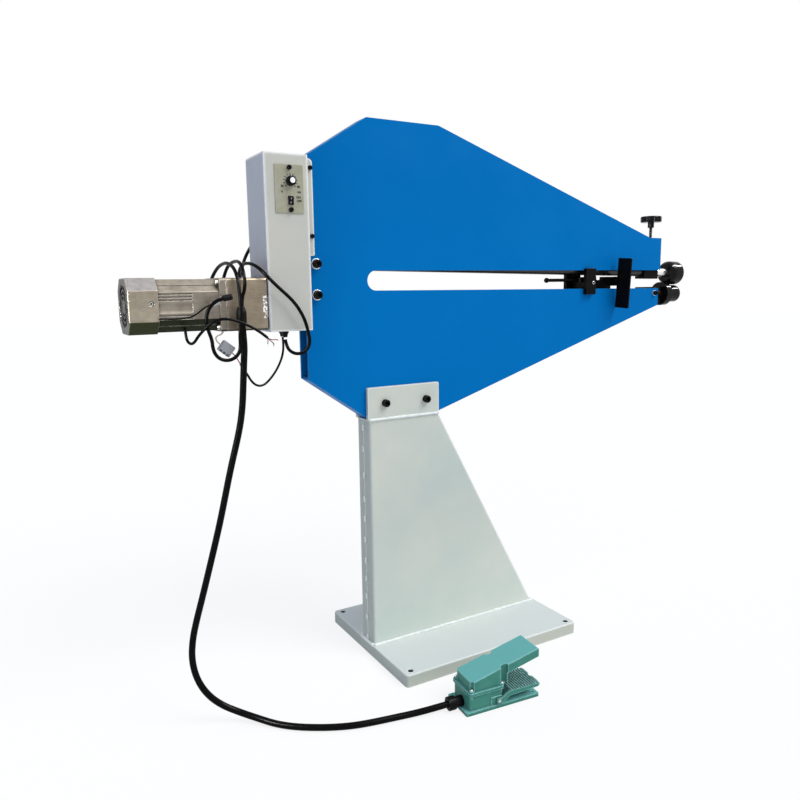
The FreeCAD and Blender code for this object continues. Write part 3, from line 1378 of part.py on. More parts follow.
def connector_block():
    """Small grey terminal block hanging under the motor on its leads, and the thin cores that reach it."""
    length, height, depth = 28.0, 24.0, 14.0
    block = box(-length / 2, length / 2, -depth / 2, depth / 2, -height / 2, height / 2)
    block = block.makeChamfer(1.2, [e for e in block.Edges if e.Length > 13])
    for x in (-8.4, 0, 8.4):
        block = block.cut(rod_z(height / 2 - 5, height / 2, 2.6, x, 1))
        block = block.cut(box(x - 2.8, x + 2.8, -depth / 2, depth / 2 - 5, -height / 2, -height / 2 + 4))
    block.rotate(V(0, 0, 0), V(0, 1, 0), 39)
    block.translate(V(-604, -70, 796))
    parts = [block]
    for y in (-1.8, 1.8):
        end = V(*hanging_lead_route[-1])
        cores = [(-593, -70 + y, 787), (-586, -69 + 0.6 * y, 781), (end.x - 5, end.y - 3 + 0.6 * y, end.z + 8),
                 (end.x - 0.5, end.y + 0.6 * y, end.z + 0.8)]
        leads = [(-615, -70 + y, 804.9), (-621, -69.5 + y, 810), (-624, -66 + y, 818), (-617, -60 + y, 823),
                 (-608, -52 + y, 824), (-602, -48 + y, 828.9)]
        parts.append(cord("core", cores, 1.8))
        parts.append(cord("lead", leads, 2.2))
    return group(parts)


def build_all():
    top_strip, bottom_strip = frame_strips()
    nodes = {
        "base_plate": base_plate(),
        "stand_front_shell": stand_shell(-1),
        "stand_back_shell": stand_shell(1),
        "saddle_plates": saddle_plates(),
        "frame_bolts": frame_bolts(),
        "frame_front_plate": frame_plate(-half_width),
        "frame_back_plate": frame_plate(inner_half),
        "frame_top_strip": top_strip,
        "frame_bottom_strip": bottom_strip,
        "nose_block": nose_block(),
        "rear_lower_bearing": rear_lower_bearing(),
        "front_lower_bearing": front_lower_bearing(),
        "control_box": control_box(),
        "motor_mount_plate": motor_mount_plate(),
        "box_screws": box_screws(),
        "controller_panel": controller_panel(),
        "controller_housing": controller_housing(),
        "gearbox": gearbox(),
        "motor_flange": motor_flange(),
        "motor_body": motor_body(),
        "motor_rear_cap": motor_rear_cap(),
        "rear_grille": rear_grille(),
        "motor_screws": motor_screws(),
        "cable_glands": cable_glands(),
        "foot_housing": foot_housing(),
        "foot_hood": foot_hood(),
        "foot_fasteners": foot_fasteners(),
        "lower_shaft": lowered(shaft(rear_end_x, journal_end_x, lower_disc_left, lower_roll_right)),
        "output_shaft": lowered(output_shaft()),
        "shaft_coupling": lowered(shaft_coupling()),
        "lower_roll": lowered(lower_roll()),
        "lower_nut": lowered(roll_nut(lower_roll_right)),
        "upper_rear_bearing": tilted(upper_rear_bearing()),
        "upper_front_bearing": tilted(upper_front_bearing()),
        "upper_shaft": tilted(shaft(gear_x - 6, journal_end_x, upper_roll_left, upper_roll_right)),
        "upper_roll": tilted(upper_roll()),
        "upper_nut": tilted(roll_nut(upper_roll_right)),
        "pressure_pad": pressure_pad(),
        "tension_screw": tension_screw(),
        "tension_knob": tension_knob(),
        "gauge_front_cheek": gauge_cheek(-1),
        "gauge_back_cheek": gauge_cheek(1),
        "gauge_block": gauge_block(),
        "gauge_arm": gauge_arm(),
        "guide_plate": guide_plate(),
        "clamp_lever": clamp_lever(),
        "speed_knob": speed_knob(),
        "rocker_switch": rocker_switch(),
        "cooling_fan": cooling_fan(),
        "foot_treadle": foot_treadle(),
        "foot_cable": cord("foot_cable", foot_cable_route, foot_cable_dia),
        "control_cable": cord("control_cable", control_cable_route, cable_dia),
        "motor_cable": cord("motor_cable", motor_cable_route, cable_dia),
        "hanging_lead": cord("hanging_lead", hanging_lead_route, lead_dia),
        "spare_lead": cord("spare_lead", spare_lead_route, spare_dia),
        "motor_wires": cord("motor_wires", wire_route, wire_dia),
        "cable_boots": cable_boots(),
        "connector_block": connector_block(),
    }
    lower_gear = gear_blank()
    upper_gear = gear_blank()
    for gear in (lower_gear, upper_gear):
        gear.translate(V(gear_x, 0, 0))
    nodes["lower_gear"] = lowered(lower_gear)
    nodes["upper_gear"] = tilted(upper_gear)
    return nodes


for name, shape in build_all().items():
    if not shape.isValid():
        print("not valid:", name)
    shape.exportStep("parts/%s.step" % name)
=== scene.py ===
import json
import math
import bmesh
import bpy
from mathutils import Matrix, Vector

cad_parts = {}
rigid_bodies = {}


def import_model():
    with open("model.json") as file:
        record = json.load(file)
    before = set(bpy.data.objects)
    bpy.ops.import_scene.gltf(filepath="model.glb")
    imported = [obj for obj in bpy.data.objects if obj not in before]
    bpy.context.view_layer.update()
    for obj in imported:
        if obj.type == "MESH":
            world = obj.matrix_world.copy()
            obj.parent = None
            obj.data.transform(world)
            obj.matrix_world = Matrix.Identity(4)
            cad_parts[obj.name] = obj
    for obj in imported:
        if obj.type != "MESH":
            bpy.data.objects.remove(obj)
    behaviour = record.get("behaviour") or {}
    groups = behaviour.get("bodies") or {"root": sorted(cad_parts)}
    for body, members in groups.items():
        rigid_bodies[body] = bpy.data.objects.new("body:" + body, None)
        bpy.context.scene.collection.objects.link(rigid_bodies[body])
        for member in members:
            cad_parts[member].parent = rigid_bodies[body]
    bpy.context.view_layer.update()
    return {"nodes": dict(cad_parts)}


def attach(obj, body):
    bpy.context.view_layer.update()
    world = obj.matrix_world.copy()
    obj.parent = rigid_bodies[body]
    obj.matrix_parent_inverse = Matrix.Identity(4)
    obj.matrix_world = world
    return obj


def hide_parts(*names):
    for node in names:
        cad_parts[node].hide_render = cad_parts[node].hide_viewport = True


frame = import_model()
nodes = frame["nodes"]
print("frame loaded:", len(nodes), "nodes")


def placed(name, data):
    # a new object in the scene
    thing = bpy.data.objects.new(name, data)
    bpy.context.scene.collection.objects.link(thing)
    return thing


def moved(*place):
    return Matrix.Translation(place)


def turned(axis, degrees):
    return Matrix.Rotation(math.radians(degrees), 4, axis)


standing = turned("X", 90)     # stands up what is drawn flat on XY, to face the viewer


# camera, as the photograph was taken

cameraSettings = {
    "place": (-1.03204, -1.52542, 0.91536),
    "turnRight": 29.949,
    "dip": 8.918,
    "roll": -0.831,
    "lens": 32.305,
    "sensor": 36,
    "clip": (0.05, 60),
}


def makeCamera(s):
    data = bpy.data.cameras.new("camera")
    data.lens = s["lens"]
    data.sensor_width = s["sensor"]
    data.clip_start, data.clip_end = s["clip"]
    camera = placed("camera", data)
    turn = turned("Z", -s["turnRight"]) @ turned("X", 90 - s["dip"]) @ turned("Z", s["roll"])
    camera.matrix_world = moved(*s["place"]) @ turn
    bpy.context.scene.camera = camera


makeCamera(cameraSettings)
print("camera placed")


# node trees

class NodeTree:
    # a tree being built; a kind without "Node" in its name is a shader node
    def __init__(self, tree):
        self.tree = tree

    def add(self, kind, settings=None, **inputs):
        node = self.tree.nodes.new(kind if "Node" in kind else "ShaderNode" + kind)
        for name, value in (settings or {}).items():
            setattr(node, name, value)
        for name, value in inputs.items():
            label = name.replace("_", " ")
            self.feed(next(x for x in node.inputs if x.name == label and x.enabled), value)
        return node

    def made(self, kind, settings=None, **inputs):
        return self.add(kind, settings, **inputs).outputs[0]

    def feed(self, socket, value):
        if isinstance(value, bpy.types.NodeSocket):
            self.tree.links.new(value, socket)
        else:
            socket.default_value = value

    def calc(self, operation, first, second):
        node = self.add("Math", {"operation": operation})
        self.feed(node.inputs[0], first)
        self.feed(node.inputs[1], second)
        return node.outputs[0]

    def anyView(self):
        # 1 for what is looked at straight, in a reflection or through glass
        seen = self.add("LightPath").outputs
        value = seen["Is Camera Ray"]
        for name in ("Is Glossy Ray", "Is Transmission Ray"):
            value = self.calc("MAXIMUM", value, seen[name])
        return value

    def shaderMix(self, share, first, second):
        node = self.add("MixShader", Fac=share)
        self.feed(node.inputs[1], first)
        self.feed(node.inputs[2], second)
        return node.outputs[0]


# light, floor and surroundings

studioSettings = {
    "skyLevel": 0.62,          # what diffuse surfaces receive from all round
    "skyColour": (0.9, 0.96, 1.12),
    "keyStrength": 1.9,
    "keyColour": (1.0, 0.985, 0.95),
    "keyFrom": (0.38, -0.5, 0.75),
    "keyAngle": 34,
    "floorColour": 0.82,
    "floorRough": 0.9,
    "floorWhite": 0.8,         # share of the floor that stays white where it is looked at
    "floorGlow": 1.03,
    "floorSize": 40,
}


def makeSky(s):
    world = bpy.data.worlds.new("studio")
    bpy.context.scene.world = world
    world.use_nodes = True
    world.node_tree.nodes.clear()
    tree = NodeTree(world.node_tree)
    sky = tree.made("Background", Color=(*s["skyColour"], 1), Strength=s["skyLevel"])
    white = tree.made("Background", Color=(1, 1, 1, 1))
    tree.add("OutputWorld", Surface=tree.shaderMix(tree.anyView(), sky, white))


def makeKey(s):
    data = bpy.data.lights.new("key", "SUN")
    data.energy = s["keyStrength"]
    data.angle = math.radians(s["keyAngle"])
    data.color = s["keyColour"]
    key = placed("key", data)
    key.rotation_euler = Vector(s["keyFrom"]).to_track_quat("Z", "Y").to_euler()


stripSettings = {
    "over": {"place": (1.65, -0.78, 2.72), "aim": (0.79, 0, 0.96), "along": (-0.9, -0.34, 0.27),
             "size": (2.4, 0.4), "glow": 60.0},
    "left": {"place": (-2.2, -0.6, 1.6), "aim": (0.72, 0, 1.1), "along": (0, 0, 1), "size": (1.4, 0.25),
             "glow": 90.0},
}


def outOf(back, along):
    # turns Z to one direction and X as near as it can be to another
    along = (along - back * back.dot(along)).normalized()
    return Matrix((along, back.cross(along), back)).transposed().to_4x4()


def makeStrip(name, s):
    # soft box that only reflections see, for the streaks along polished and black parts
    data = bpy.data.lights.new(name + "Strip", "AREA")
    data.shape = "RECTANGLE"
    data.size, data.size_y = s["size"]
    data.energy = s["glow"] * math.pi * data.size * data.size_y
    strip = placed(name + "Strip", data)
    back = (Vector(s["place"]) - Vector(s["aim"])).normalized()
    strip.matrix_world = moved(*s["place"]) @ outOf(back, Vector(s["along"]))
    strip.visible_camera = False
    strip.visible_diffuse = False


def makeFloor(s):
    half = s["floorSize"] / 2
    mesh = bpy.data.meshes.new("floor")
    corners = [(-half, -half, 0), (half, -half, 0), (half, half, 0), (-half, half, 0)]
    mesh.from_pydata(corners, [], [(0, 1, 2, 3)])
    floor = placed("floor", mesh)
    mat = bpy.data.materials.new("floor")
    mat.use_nodes = True
    tree = NodeTree(mat.node_tree)
    shader = tree.tree.nodes["Principled BSDF"]
    for name, value in (("Base Color", (s["floorColour"],) * 3 + (1,)), ("Roughness", s["floorRough"]),
                        ("Specular IOR Level", 0.0)):
        shader.inputs[name].default_value = value
    glow = tree.made("Emission", Strength=s["floorGlow"])
    share = tree.calc("MULTIPLY", tree.anyView(), s["floorWhite"])
    tree.feed(tree.tree.nodes["Material Output"].inputs["Surface"],
              tree.shaderMix(share, shader.outputs[0], glow))
    mesh.materials.append(mat)


makeSky(studioSettings)
makeKey(studioSettings)
for name, s in stripSettings.items():
    makeStrip(name, s)
makeFloor(studioSettings)
bpy.context.scene.view_settings.view_transform = "Standard"
print("studio ready")


# finishes: one small tree each, on object coordinates

edgeSettings = {
    "samples": 4,
    "narrow": (0.9, 0.992),      # cosines at an edge's middle and where its flat begins
    "wide": (0.955, 0.998),      # the same where an edge has a band of its own width
    "closeBy": (0.4, 0.95),      # openness where the painted shade in hollows is full and where it ends
}


class Finish(NodeTree):
    # a material being made, with short ways to add what every finish here needs
    def __init__(self, name, s, metallic=0.0):
        self.mat = bpy.data.materials.new(name)
        self.mat.use_nodes = True
        self.mat.diffuse_color = (*s["colour"], 1)
        super().__init__(self.mat.node_tree)
        self.shader = self.tree.nodes["Principled BSDF"]
        self.set("Base Color", (*s["colour"], 1))
        self.set("Metallic", metallic)
        self.set("Roughness", s["rough"][0])
        self.set("Specular IOR Level", s.get("specular", 0.3))
        place = self.add("TexCoord").outputs
        self.coords, self.facing = place["Object"], place["Normal"]
        self.normal = None

    def set(self, name, value):
        self.feed(self.shader.inputs[name], value)

    def part(self, axis, vector):
        return self.add("SeparateXYZ", Vector=vector).outputs["XYZ".index(axis)]

    def mapped(self, **how):
        return self.made("Mapping", Vector=self.coords, **how)

    def noise(self, scale, detail=3.0, roughness=0.5, coords=None):
        node = self.add("TexNoise", Vector=coords or self.coords, Scale=scale, Detail=detail,
                        Roughness=roughness)
        return node.outputs["Fac"]

    def level(self, source, low, high, fromLow=0.35, fromHigh=0.65):
        return self.made("MapRange", Value=source, From_Min=fromLow, From_Max=fromHigh, To_Min=low,
                         To_Max=high)

    def scaled(self, colour, factor):
        return self.made("VectorMath", {"operation": "SCALE"}, Vector=colour, Scale=factor)

    def mix(self, share, first, second):
        node = self.add("Mix", {"data_type": "RGBA"})
        sockets = [x for x in node.inputs if x.enabled]
        for socket, value in zip(sockets, (share, first, second)):
            self.feed(socket, (*value[:3], 1) if isinstance(value, tuple) else value)
        return [x for x in node.outputs if x.enabled][0]

    def inside(self, limits, vector=None):
        # 1 where each coordinate lies between its low and high
        share = 1.0
        for axis, low, high in limits:
            value = self.part(axis, vector or self.coords)
            for operation, limit in (("GREATER_THAN", low), ("LESS_THAN", high)):
                share = self.calc("MULTIPLY", share, self.calc(operation, value, limit))
        return share

    def insideAny(self, boxes):
        share = 0.0
        for limits in boxes:
            share = self.calc("MAXIMUM", share, self.inside(limits))
        return share

    def outsideBox(self, centre, turn, half):
        # 1 outside a box turned about Y
        shift = -(turned("Y", -turn) @ Vector(centre))
        local = self.mapped(Rotation=(0, math.radians(-turn), 0), Location=shift)
        return self.calc("SUBTRACT", 1.0, self.inside([(x, -r, r) for x, r in zip("XYZ", half)], local))

    def within(self, axis, first, second, radius):
        # 1 nearer than a radius to a line along Y or Z
        place, flat = ((-first, 0, -second), (1, 0, 1)) if axis == "Y" else ((-first, -second, 0), (1, 1, 0))
        away = self.add("VectorMath", {"operation": "LENGTH"}, Vector=self.mapped(Location=place, Scale=flat))
        return self.calc("LESS_THAN", away.outputs["Value"], radius)

    def towards(self, axis, low, high):
        # rises from 0 to 1 as the surface's own direction on that axis goes from low to high
        return self.level(self.part(axis, self.facing), 0, 1, low, high)

    def litAndShadedFaces(self, colour, s, sides):
        # painted light and shade: another colour on what faces a given way
        for side, turn in sides.items():
            if side in s:
                colour = self.mix(self.towards(*turn), colour, s[side])
        return colour

    def shadedAlong(self, colour, axis, low, high, first, last):
        # painted light and shade: a colour made lighter or darker along an axis
        return self.scaled(colour, self.level(self.part(axis, self.coords), first, last, low, high))

    def hollowed(self, colour, reach, lowest):
        # painted shade: darker where other faces stand close
        deep = self.add("AmbientOcclusion", {"samples": edgeSettings["samples"]}, Distance=reach)
        return self.scaled(colour, self.level(deep.outputs["AO"], lowest, 1.0, *edgeSettings["closeBy"]))

    def rounded(self, radius):
        return self.made("Bevel", {"samples": edgeSettings["samples"]}, Radius=radius)

    def soften(self, radius, band=None):
        # rounds the edges in the shading; gives 1 on an edge and 0 on a flat, where the finishes paint wear
        # and highlights
        self.normal = self.rounded(radius)
        self.set("Normal", self.normal)
        dot = self.add("VectorMath", {"operation": "DOT_PRODUCT"})
        self.feed(dot.inputs[0], self.rounded(band) if band else self.normal)
        self.feed(dot.inputs[1], self.add("NewGeometry").outputs["Normal"])
        return self.level(dot.outputs["Value"], 1.0, 0.0, *edgeSettings["wide" if band else "narrow"])

    def bump(self, source, strength, distance):
        node = self.add("Bump", Strength=strength, Distance=distance, Height=source)
        if self.normal is not None:
            self.feed(node.inputs["Normal"], self.normal)
        self.normal = node.outputs["Normal"]
        self.set("Normal", self.normal)


def tint(colour, factor):
    return tuple(min(1.0, c * f) for c, f in zip(colour, factor))


# painted light and shade: the top colour is lighter for faces turned up, the side colour darker for faces
# turned to -X
paintSettings = {
    "palePaint": {"colour": (0.51, 0.557, 0.5), "warm": (1.12, 1.06, 1.03), "cool": (0.92, 0.965, 0.98),
                  "patch": 3.2, "rough": (0.42, 0.56), "specular": 0.3, "peel": 0.10, "peelScale": 520,
                  "edge": 0.0022, "band": 0.0045, "edgeWearHighlightColour": (0.92, 0.95, 0.94), "edgeShare": 0.85,
                  "edgeLow": 0.6, "side": (0.385, 0.43, 0.395), "paintedShading": ("Z", 0.0, 0.34, 1.22, 1.0)},
    "bluePaint": {"colour": (0.0, 0.152, 0.45), "warm": (1.0, 1.04, 1.02), "cool": (1.0, 0.96, 0.97),
                  "paintedShading": ("X", -0.42, -0.22, 0.88, 1.0),
                  "patch": 2.4, "rough": (0.3, 0.4), "specular": 0.02, "peel": 0.06, "peelScale": 700,
                  "edge": 0.0012, "edgeWearHighlightColour": (0.1, 0.42, 0.8), "edgeShare": 0.45, "edgeLow": 0.4},
    "boxPaint": {"colour": (0.5, 0.496, 0.438), "warm": (1.04, 1.03, 1.01), "cool": (0.96, 0.97, 0.99),
                 "patch": 6.0, "rough": (0.4, 0.5), "specular": 0.3, "peel": 0.12, "peelScale": 900,
                 "edge": 0.0026, "band": 0.0058, "edgeWearHighlightColour": (0.95, 0.96, 0.95), "edgeShare": 1.0,
                 "edgeLow": 0.7, "side": (0.355, 0.39, 0.455)},
    "tealPaint": {"colour": (0.05, 0.215, 0.168), "warm": (1.2, 1.08, 1.06), "cool": (0.8, 0.92, 0.92),
                  "top": (0.135, 0.425, 0.4),
                  "patch": 24.0, "rough": (0.36, 0.5), "specular": 0.12, "peel": 0.25, "peelScale": 620,
                  "edge": 0.0012, "band": 0.0022, "edgeWearHighlightColour": (0.42, 0.78, 0.75), "edgeShare": 1.0,
                  "edgeLow": 0.55, "hollow": (0.005, 0.4)},
    # paler than the stand's paint: the beads' paint plus a painted highlight on them
    "beadPaint": {"colour": (0.8, 0.83, 0.81), "warm": (1.04, 1.02, 1.0), "cool": (0.88, 0.92, 0.93),
                  "patch": 60.0, "rough": (0.35, 0.5), "specular": 0.4, "peel": 0.3, "peelScale": 420,
                  "edge": 0.0004, "edgeWearHighlightColour": (0.95, 0.96, 0.95), "edgeShare": 0.4, "edgeLow": 0.4},
}

paintSettings["basePaint"] = {
    **paintSettings["palePaint"], "paintedShading": None, "colour": (0.455, 0.49, 0.425), "top": (0.6, 0.645, 0.615),
    "shadedHoles": [(x, y, 0.0074) for x in (-0.24, 0.24) for y in (-0.182, 0.182)]}
paintSettings["treadPaint"] = {**paintSettings["tealPaint"], "top": (0.08, 0.235, 0.205),
                               "hollow": (0.008, 0.15)}

coatSettings = {
    # noises: scale where it isn't the paint's own, detail, roughness
    "patches": (4, 0.55), "peel": (2, 0.5), "wearAndHighlight": (90, 4, 0.6), "waves": (38, 2, 0.5),
    "peelDepth": 0.0004, "waveDepth": (0.05, 0.001),
    "glossFiner": 4,           # times finer than the patches of colour
    "holeShadeTop": 0.0292, "holeShadeColour": (0.008, 0.008, 0.009),
    "sides": {"top": ("Z", 0.55, 0.95), "side": ("X", -0.5, -0.9)},
}


def makePaint(name, s):
    coat = coatSettings
    paint = Finish(name, s)
    edge = paint.soften(s["edge"], s.get("band"))
    patches = paint.level(paint.noise(s["patch"], *coat["patches"]), 0, 1)
    body = paint.mix(patches, tint(s["colour"], s["cool"]), tint(s["colour"], s["warm"]))
    # painted light lower on the stand and painted shadow at the blue frame's left end
    if s.get("paintedShading"):
        body = paint.shadedAlong(body, *s["paintedShading"])
    body = paint.litAndShadedFaces(body, s, coat["sides"])
    if "hollow" in s:
        body = paint.hollowed(body, *s["hollow"])
    # painted shade: near-black walls down the base plate's holes
    for x, y, radius in s.get("shadedHoles", []):
        below = paint.inside([("Z", -1.0, coat["holeShadeTop"])])
        deep = paint.calc("MULTIPLY", paint.within("Z", x, y, radius), below)
        body = paint.mix(deep, body, coat["holeShadeColour"])
    # edges take a lighter colour, partly wear and partly a painted highlight
    edgeWearAndHighlight = paint.calc("MULTIPLY", edge, paint.level(paint.noise(*coat["wearAndHighlight"]), s["edgeLow"], 1.0))
    paint.set("Base Color", paint.mix(paint.calc("MULTIPLY", edgeWearAndHighlight, s["edgeShare"]), body, s["edgeWearHighlightColour"]))
    paint.set("Roughness", paint.level(paint.noise(s["patch"] * coat["glossFiner"]), *s["rough"]))
    paint.bump(paint.noise(s["peelScale"], *coat["peel"]), s["peel"], coat["peelDepth"])
    paint.bump(paint.noise(*coat["waves"]), *coat["waveDepth"])
    return paint.mat


# painted light and shade: the under colour is darker for faces turned down, the over colour lighter for faces
# turned up
metalSettings = {
    "blackOxide": {"colour": (0.0022, 0.0022, 0.0026), "metal": 0.0, "rough": (0.3, 0.44), "specular": 0.06,
                   "grain": (60, 900, 900), "depth": 0.05, "edge": 0.0009, "edgeWearHighlightColour": (0.11, 0.11, 0.115),
                   "edgeShare": 0.5, "smudge": 0.6},
    "rollSteel": {"colour": (0.004, 0.0037, 0.003), "metal": 0.0, "rough": (0.08, 0.14), "specular": 0.12,
                  "grain": (1400, 60, 60), "depth": 0.03, "edge": 0.0012, "edgeWearHighlightColour": (0.3, 0.3, 0.3),
                  "edgeShare": 0.5, "smudge": 0.35},
    "darkSteel": {"colour": (0.05, 0.048, 0.045), "metal": 0.85, "rough": (0.2, 0.34),
                  "grain": (40, 800, 800), "depth": 0.06, "edge": 0.0007, "edgeWearHighlightColour": (0.4, 0.39, 0.38),
                  "edgeShare": 0.5, "smudge": 0.5},
    "groundSteel": {"colour": (0.46, 0.45, 0.43), "metal": 1.0, "rough": (0.2, 0.36), "grain": (1500, 50, 50),
                    "depth": 0.05, "edge": 0.0006, "edgeWearHighlightColour": (0.7, 0.7, 0.68), "edgeShare": 0.5,
                    "smudge": 0.25},
    "gearSteel": {"colour": (0.33, 0.325, 0.31), "metal": 1.0, "rough": (0.22, 0.4), "grain": (900, 70, 70),
                  "depth": 0.06, "edge": 0.0005, "edgeWearHighlightColour": (0.62, 0.61, 0.6), "edgeShare": 0.6,
                  "smudge": 0.7},
    "satinAluminium": {"colour": (0.235, 0.209, 0.17), "metal": 0.7, "rough": (0.34, 0.46),
                       "grain": (26, 420, 420), "depth": 0.09, "edge": 0.0011,
                       "edgeWearHighlightColour": (0.78, 0.75, 0.68), "edgeShare": 0.7, "smudge": 0.5,
                       "shadedUnderside": (0.012, 0.016, 0.004), "hollow": (0.008, 0.25)},
    "brightZinc": {"colour": (0.66, 0.66, 0.65), "metal": 1.0, "rough": (0.18, 0.32),
                   "grain": (300, 300, 300), "depth": 0.05, "edge": 0.0005, "edgeWearHighlightColour": (0.85, 0.85, 0.85),
                   "edgeShare": 0.5, "smudge": 0.3},
    "grilleWire": {"colour": (0.02, 0.019, 0.02), "metal": 0.2, "rough": (0.34, 0.46),
                   "grain": (500, 500, 500), "depth": 0.06, "edge": 0.0008, "edgeWearHighlightColour": (0.2, 0.19, 0.2),
                   "edgeShare": 0.6, "smudge": 0.4},
    "bareCopper": {"colour": (0.6, 0.3, 0.17), "metal": 1.0, "rough": (0.22, 0.36), "grain": (900, 900, 900),
                   "depth": 0.04, "edge": 0.0002, "edgeWearHighlightColour": (0.85, 0.55, 0.38), "edgeShare": 0.4,
                   "smudge": 0.2},
    "capMetal": {"colour": (0.88, 0.88, 0.87), "metal": 0.5, "rough": (0.22, 0.32), "grain": (700, 90, 700),
                 "depth": 0.05, "edge": 0.0004, "edgeWearHighlightColour": (0.95, 0.95, 0.95), "edgeShare": 0.5,
                 "smudge": 0.1},
}

washerBoxes = [
    [("X", -0.41, -0.35), ("Y", -0.02655, -0.0238)], [("X", -0.41, -0.35), ("Y", 0.0238, 0.02655)],
    [("X", 0.70, 0.74), ("Y", -0.02565, -0.0238)], [("X", 0.70, 0.74), ("Y", 0.0238, 0.02565)],
]
metalSettings["boltBlack"] = {**metalSettings["blackOxide"],
                              "bright": {"colour": (0.8, 0.8, 0.79), "metal": 0.8, "boxes": washerBoxes,
                                         "holes": [(-0.378, 0.9697, 0.0101), (-0.378, 0.901, 0.0101),
                                                   (0.718, 0.888, 0.0069)]}}
metalSettings["upperShaft"] = {**metalSettings["darkSteel"],
                               "bright": {"colour": (0.85, 0.84, 0.82), "metal": 1.0,
                                          "boxes": [[("X", 0.7365, 0.79)], [("X", -0.5, -0.36)]]}}
metalSettings["cowlAluminium"] = {**metalSettings["satinAluminium"], "colour": (0.3, 0.262, 0.203),
                                  "rear": (0.03, 0.027, 0.028), "shadedUnderside": (0.027, 0.033, 0.01),
                                  "over": (0.268, 0.256, 0.25)}
metalSettings["gearboxAluminium"] = {**metalSettings["satinAluminium"], "colour": (0.268, 0.222, 0.162),
                                     "chips": [("X", -0.5155, -0.5035), ("Z", 0.855, 0.902)]}

millSettings = {
    "lines": (1.0, 5, 0.7), "lineShade": (0.88, 1.12), "lineDepth": 0.0002,
    "smudges": (28, 4, 0.6), "smudgeShade": (-0.35, 0.2),
    "chips": (260, 2, 0.5), "chipColour": (0.9, 0.9, 0.88),
    "wearAndHighlight": (220, 4, 0.6), "wearAndHighlightLow": 0.3, "dull": (75, 4, 0.6),
    "sides": {"shadedUnderside": ("Z", -0.35, -0.6), "over": ("Z", 0.4, 0.6), "rear": ("X", -0.8, -0.95)},
}


def makeMetal(name, s):
    mill = millSettings
    metal = Finish(name, s, s["metal"])
    edge = metal.soften(s["edge"])
    lines = metal.noise(*mill["lines"], metal.mapped(Scale=s["grain"]))
    smudgeLow, smudgeHigh = (1 + share * s["smudge"] for share in mill["smudgeShade"])
    smudges = metal.level(metal.noise(*mill["smudges"]), smudgeLow, smudgeHigh)
    shade = metal.calc("MULTIPLY", smudges, metal.level(lines, *mill["lineShade"]))
    colour = metal.litAndShadedFaces(metal.scaled(s["colour"], shade), s, mill["sides"])
    if "hollow" in s:
        colour = metal.hollowed(colour, *s["hollow"])
    if "chips" in s:
        spots = metal.calc("GREATER_THAN", metal.noise(*mill["chips"]), 0.5)
        spots = metal.calc("MULTIPLY", spots, metal.inside(s["chips"]))
        colour = metal.mix(spots, colour, mill["chipColour"])
    if "bright" in s:
        bright = s["bright"]
        share = metal.insideAny(bright["boxes"])
        for x, z, radius in bright.get("holes", []):
            outer = metal.calc("SUBTRACT", 1.0, metal.within("Y", x, z, radius))
            share = metal.calc("MULTIPLY", share, outer)
        colour = metal.mix(share, colour, bright["colour"])
        metal.set("Metallic", metal.level(share, s["metal"], bright["metal"], 0, 1))
    # edges take a lighter colour, partly wear and partly a painted highlight
    edgeWearAndHighlight = metal.calc("MULTIPLY", edge, metal.level(metal.noise(*mill["wearAndHighlight"]), mill["wearAndHighlightLow"], 1.0))
    metal.set("Base Color", metal.mix(metal.calc("MULTIPLY", edgeWearAndHighlight, s["edgeShare"]), colour, s["edgeWearHighlightColour"]))
    metal.set("Roughness", metal.level(metal.noise(*mill["dull"]), *s["rough"]))
    metal.bump(lines, s["depth"], mill["lineDepth"])
    return metal.mat


plasticSettings = {
    "rubberSheath": {"colour": (0.0018, 0.0018, 0.0018), "rough": (0.2, 0.3), "specular": 0.05, "grain": 900,
                     "depth": 0.06, "dust": (0.01, 0.01, 0.01), "dustShare": 0.2, "edge": 0.0005},
    "blackPlastic": {"colour": (0.003, 0.003, 0.0033), "rough": (0.28, 0.42), "specular": 0.06, "grain": 1200,
                     "depth": 0.16, "dust": (0.03, 0.03, 0.032), "dustShare": 0.25, "edge": 0.0006},
    "glossPlastic": {"colour": (0.003, 0.003, 0.0036), "rough": (0.1, 0.18), "specular": 0.09, "grain": 700,
                     "depth": 0.03, "dust": (0.1, 0.1, 0.1), "dustShare": 0.08, "edge": 0.0007},
    "panelPlate": {"colour": (0.31, 0.3, 0.206), "rough": (0.36, 0.46), "specular": 0.3, "grain": 800,
                   "depth": 0.05, "dust": (0.5, 0.49, 0.42), "dustShare": 0.3, "edge": 0.0008},
    "greyPlastic": {"colour": (0.25, 0.262, 0.275), "rough": (0.34, 0.46), "specular": 0.3, "grain": 900,
                    "depth": 0.1, "dust": (0.42, 0.43, 0.44), "dustShare": 0.35, "edge": 0.0006},
    "whitePrint": {"colour": (0.78, 0.78, 0.76), "rough": (0.4, 0.5), "grain": 1500, "depth": 0.04,
                   "dust": (0.6, 0.6, 0.58), "dustShare": 0.4, "edge": 0.0002},
    "darkPrint": {"colour": (0.012, 0.012, 0.013), "rough": (0.45, 0.55), "specular": 0.15, "grain": 1500,
                  "depth": 0.04, "dust": (0.06, 0.06, 0.055), "dustShare": 0.4, "edge": 0.0002},
}
for name, colour, dust in (("redCore", (0.2, 0.014, 0.014), (0.4, 0.1, 0.09)),
                           ("brownCore", (0.09, 0.04, 0.024), (0.2, 0.12, 0.08)),
                           ("greyCore", (0.14, 0.14, 0.15), (0.3, 0.3, 0.3))):
    plasticSettings[name] = {"colour": colour, "rough": (0.32, 0.44), "grain": 900, "depth": 0.06,
                             "dust": dust, "dustShare": 0.35, "edge": 0.0002}
plasticSettings["bootRubber"] = {
    **plasticSettings["blackPlastic"],
    "other": [((0.6, 0.6, 0.58), [("Y", -0.0729, 0.0), ("X", -0.66, -0.595)])]}
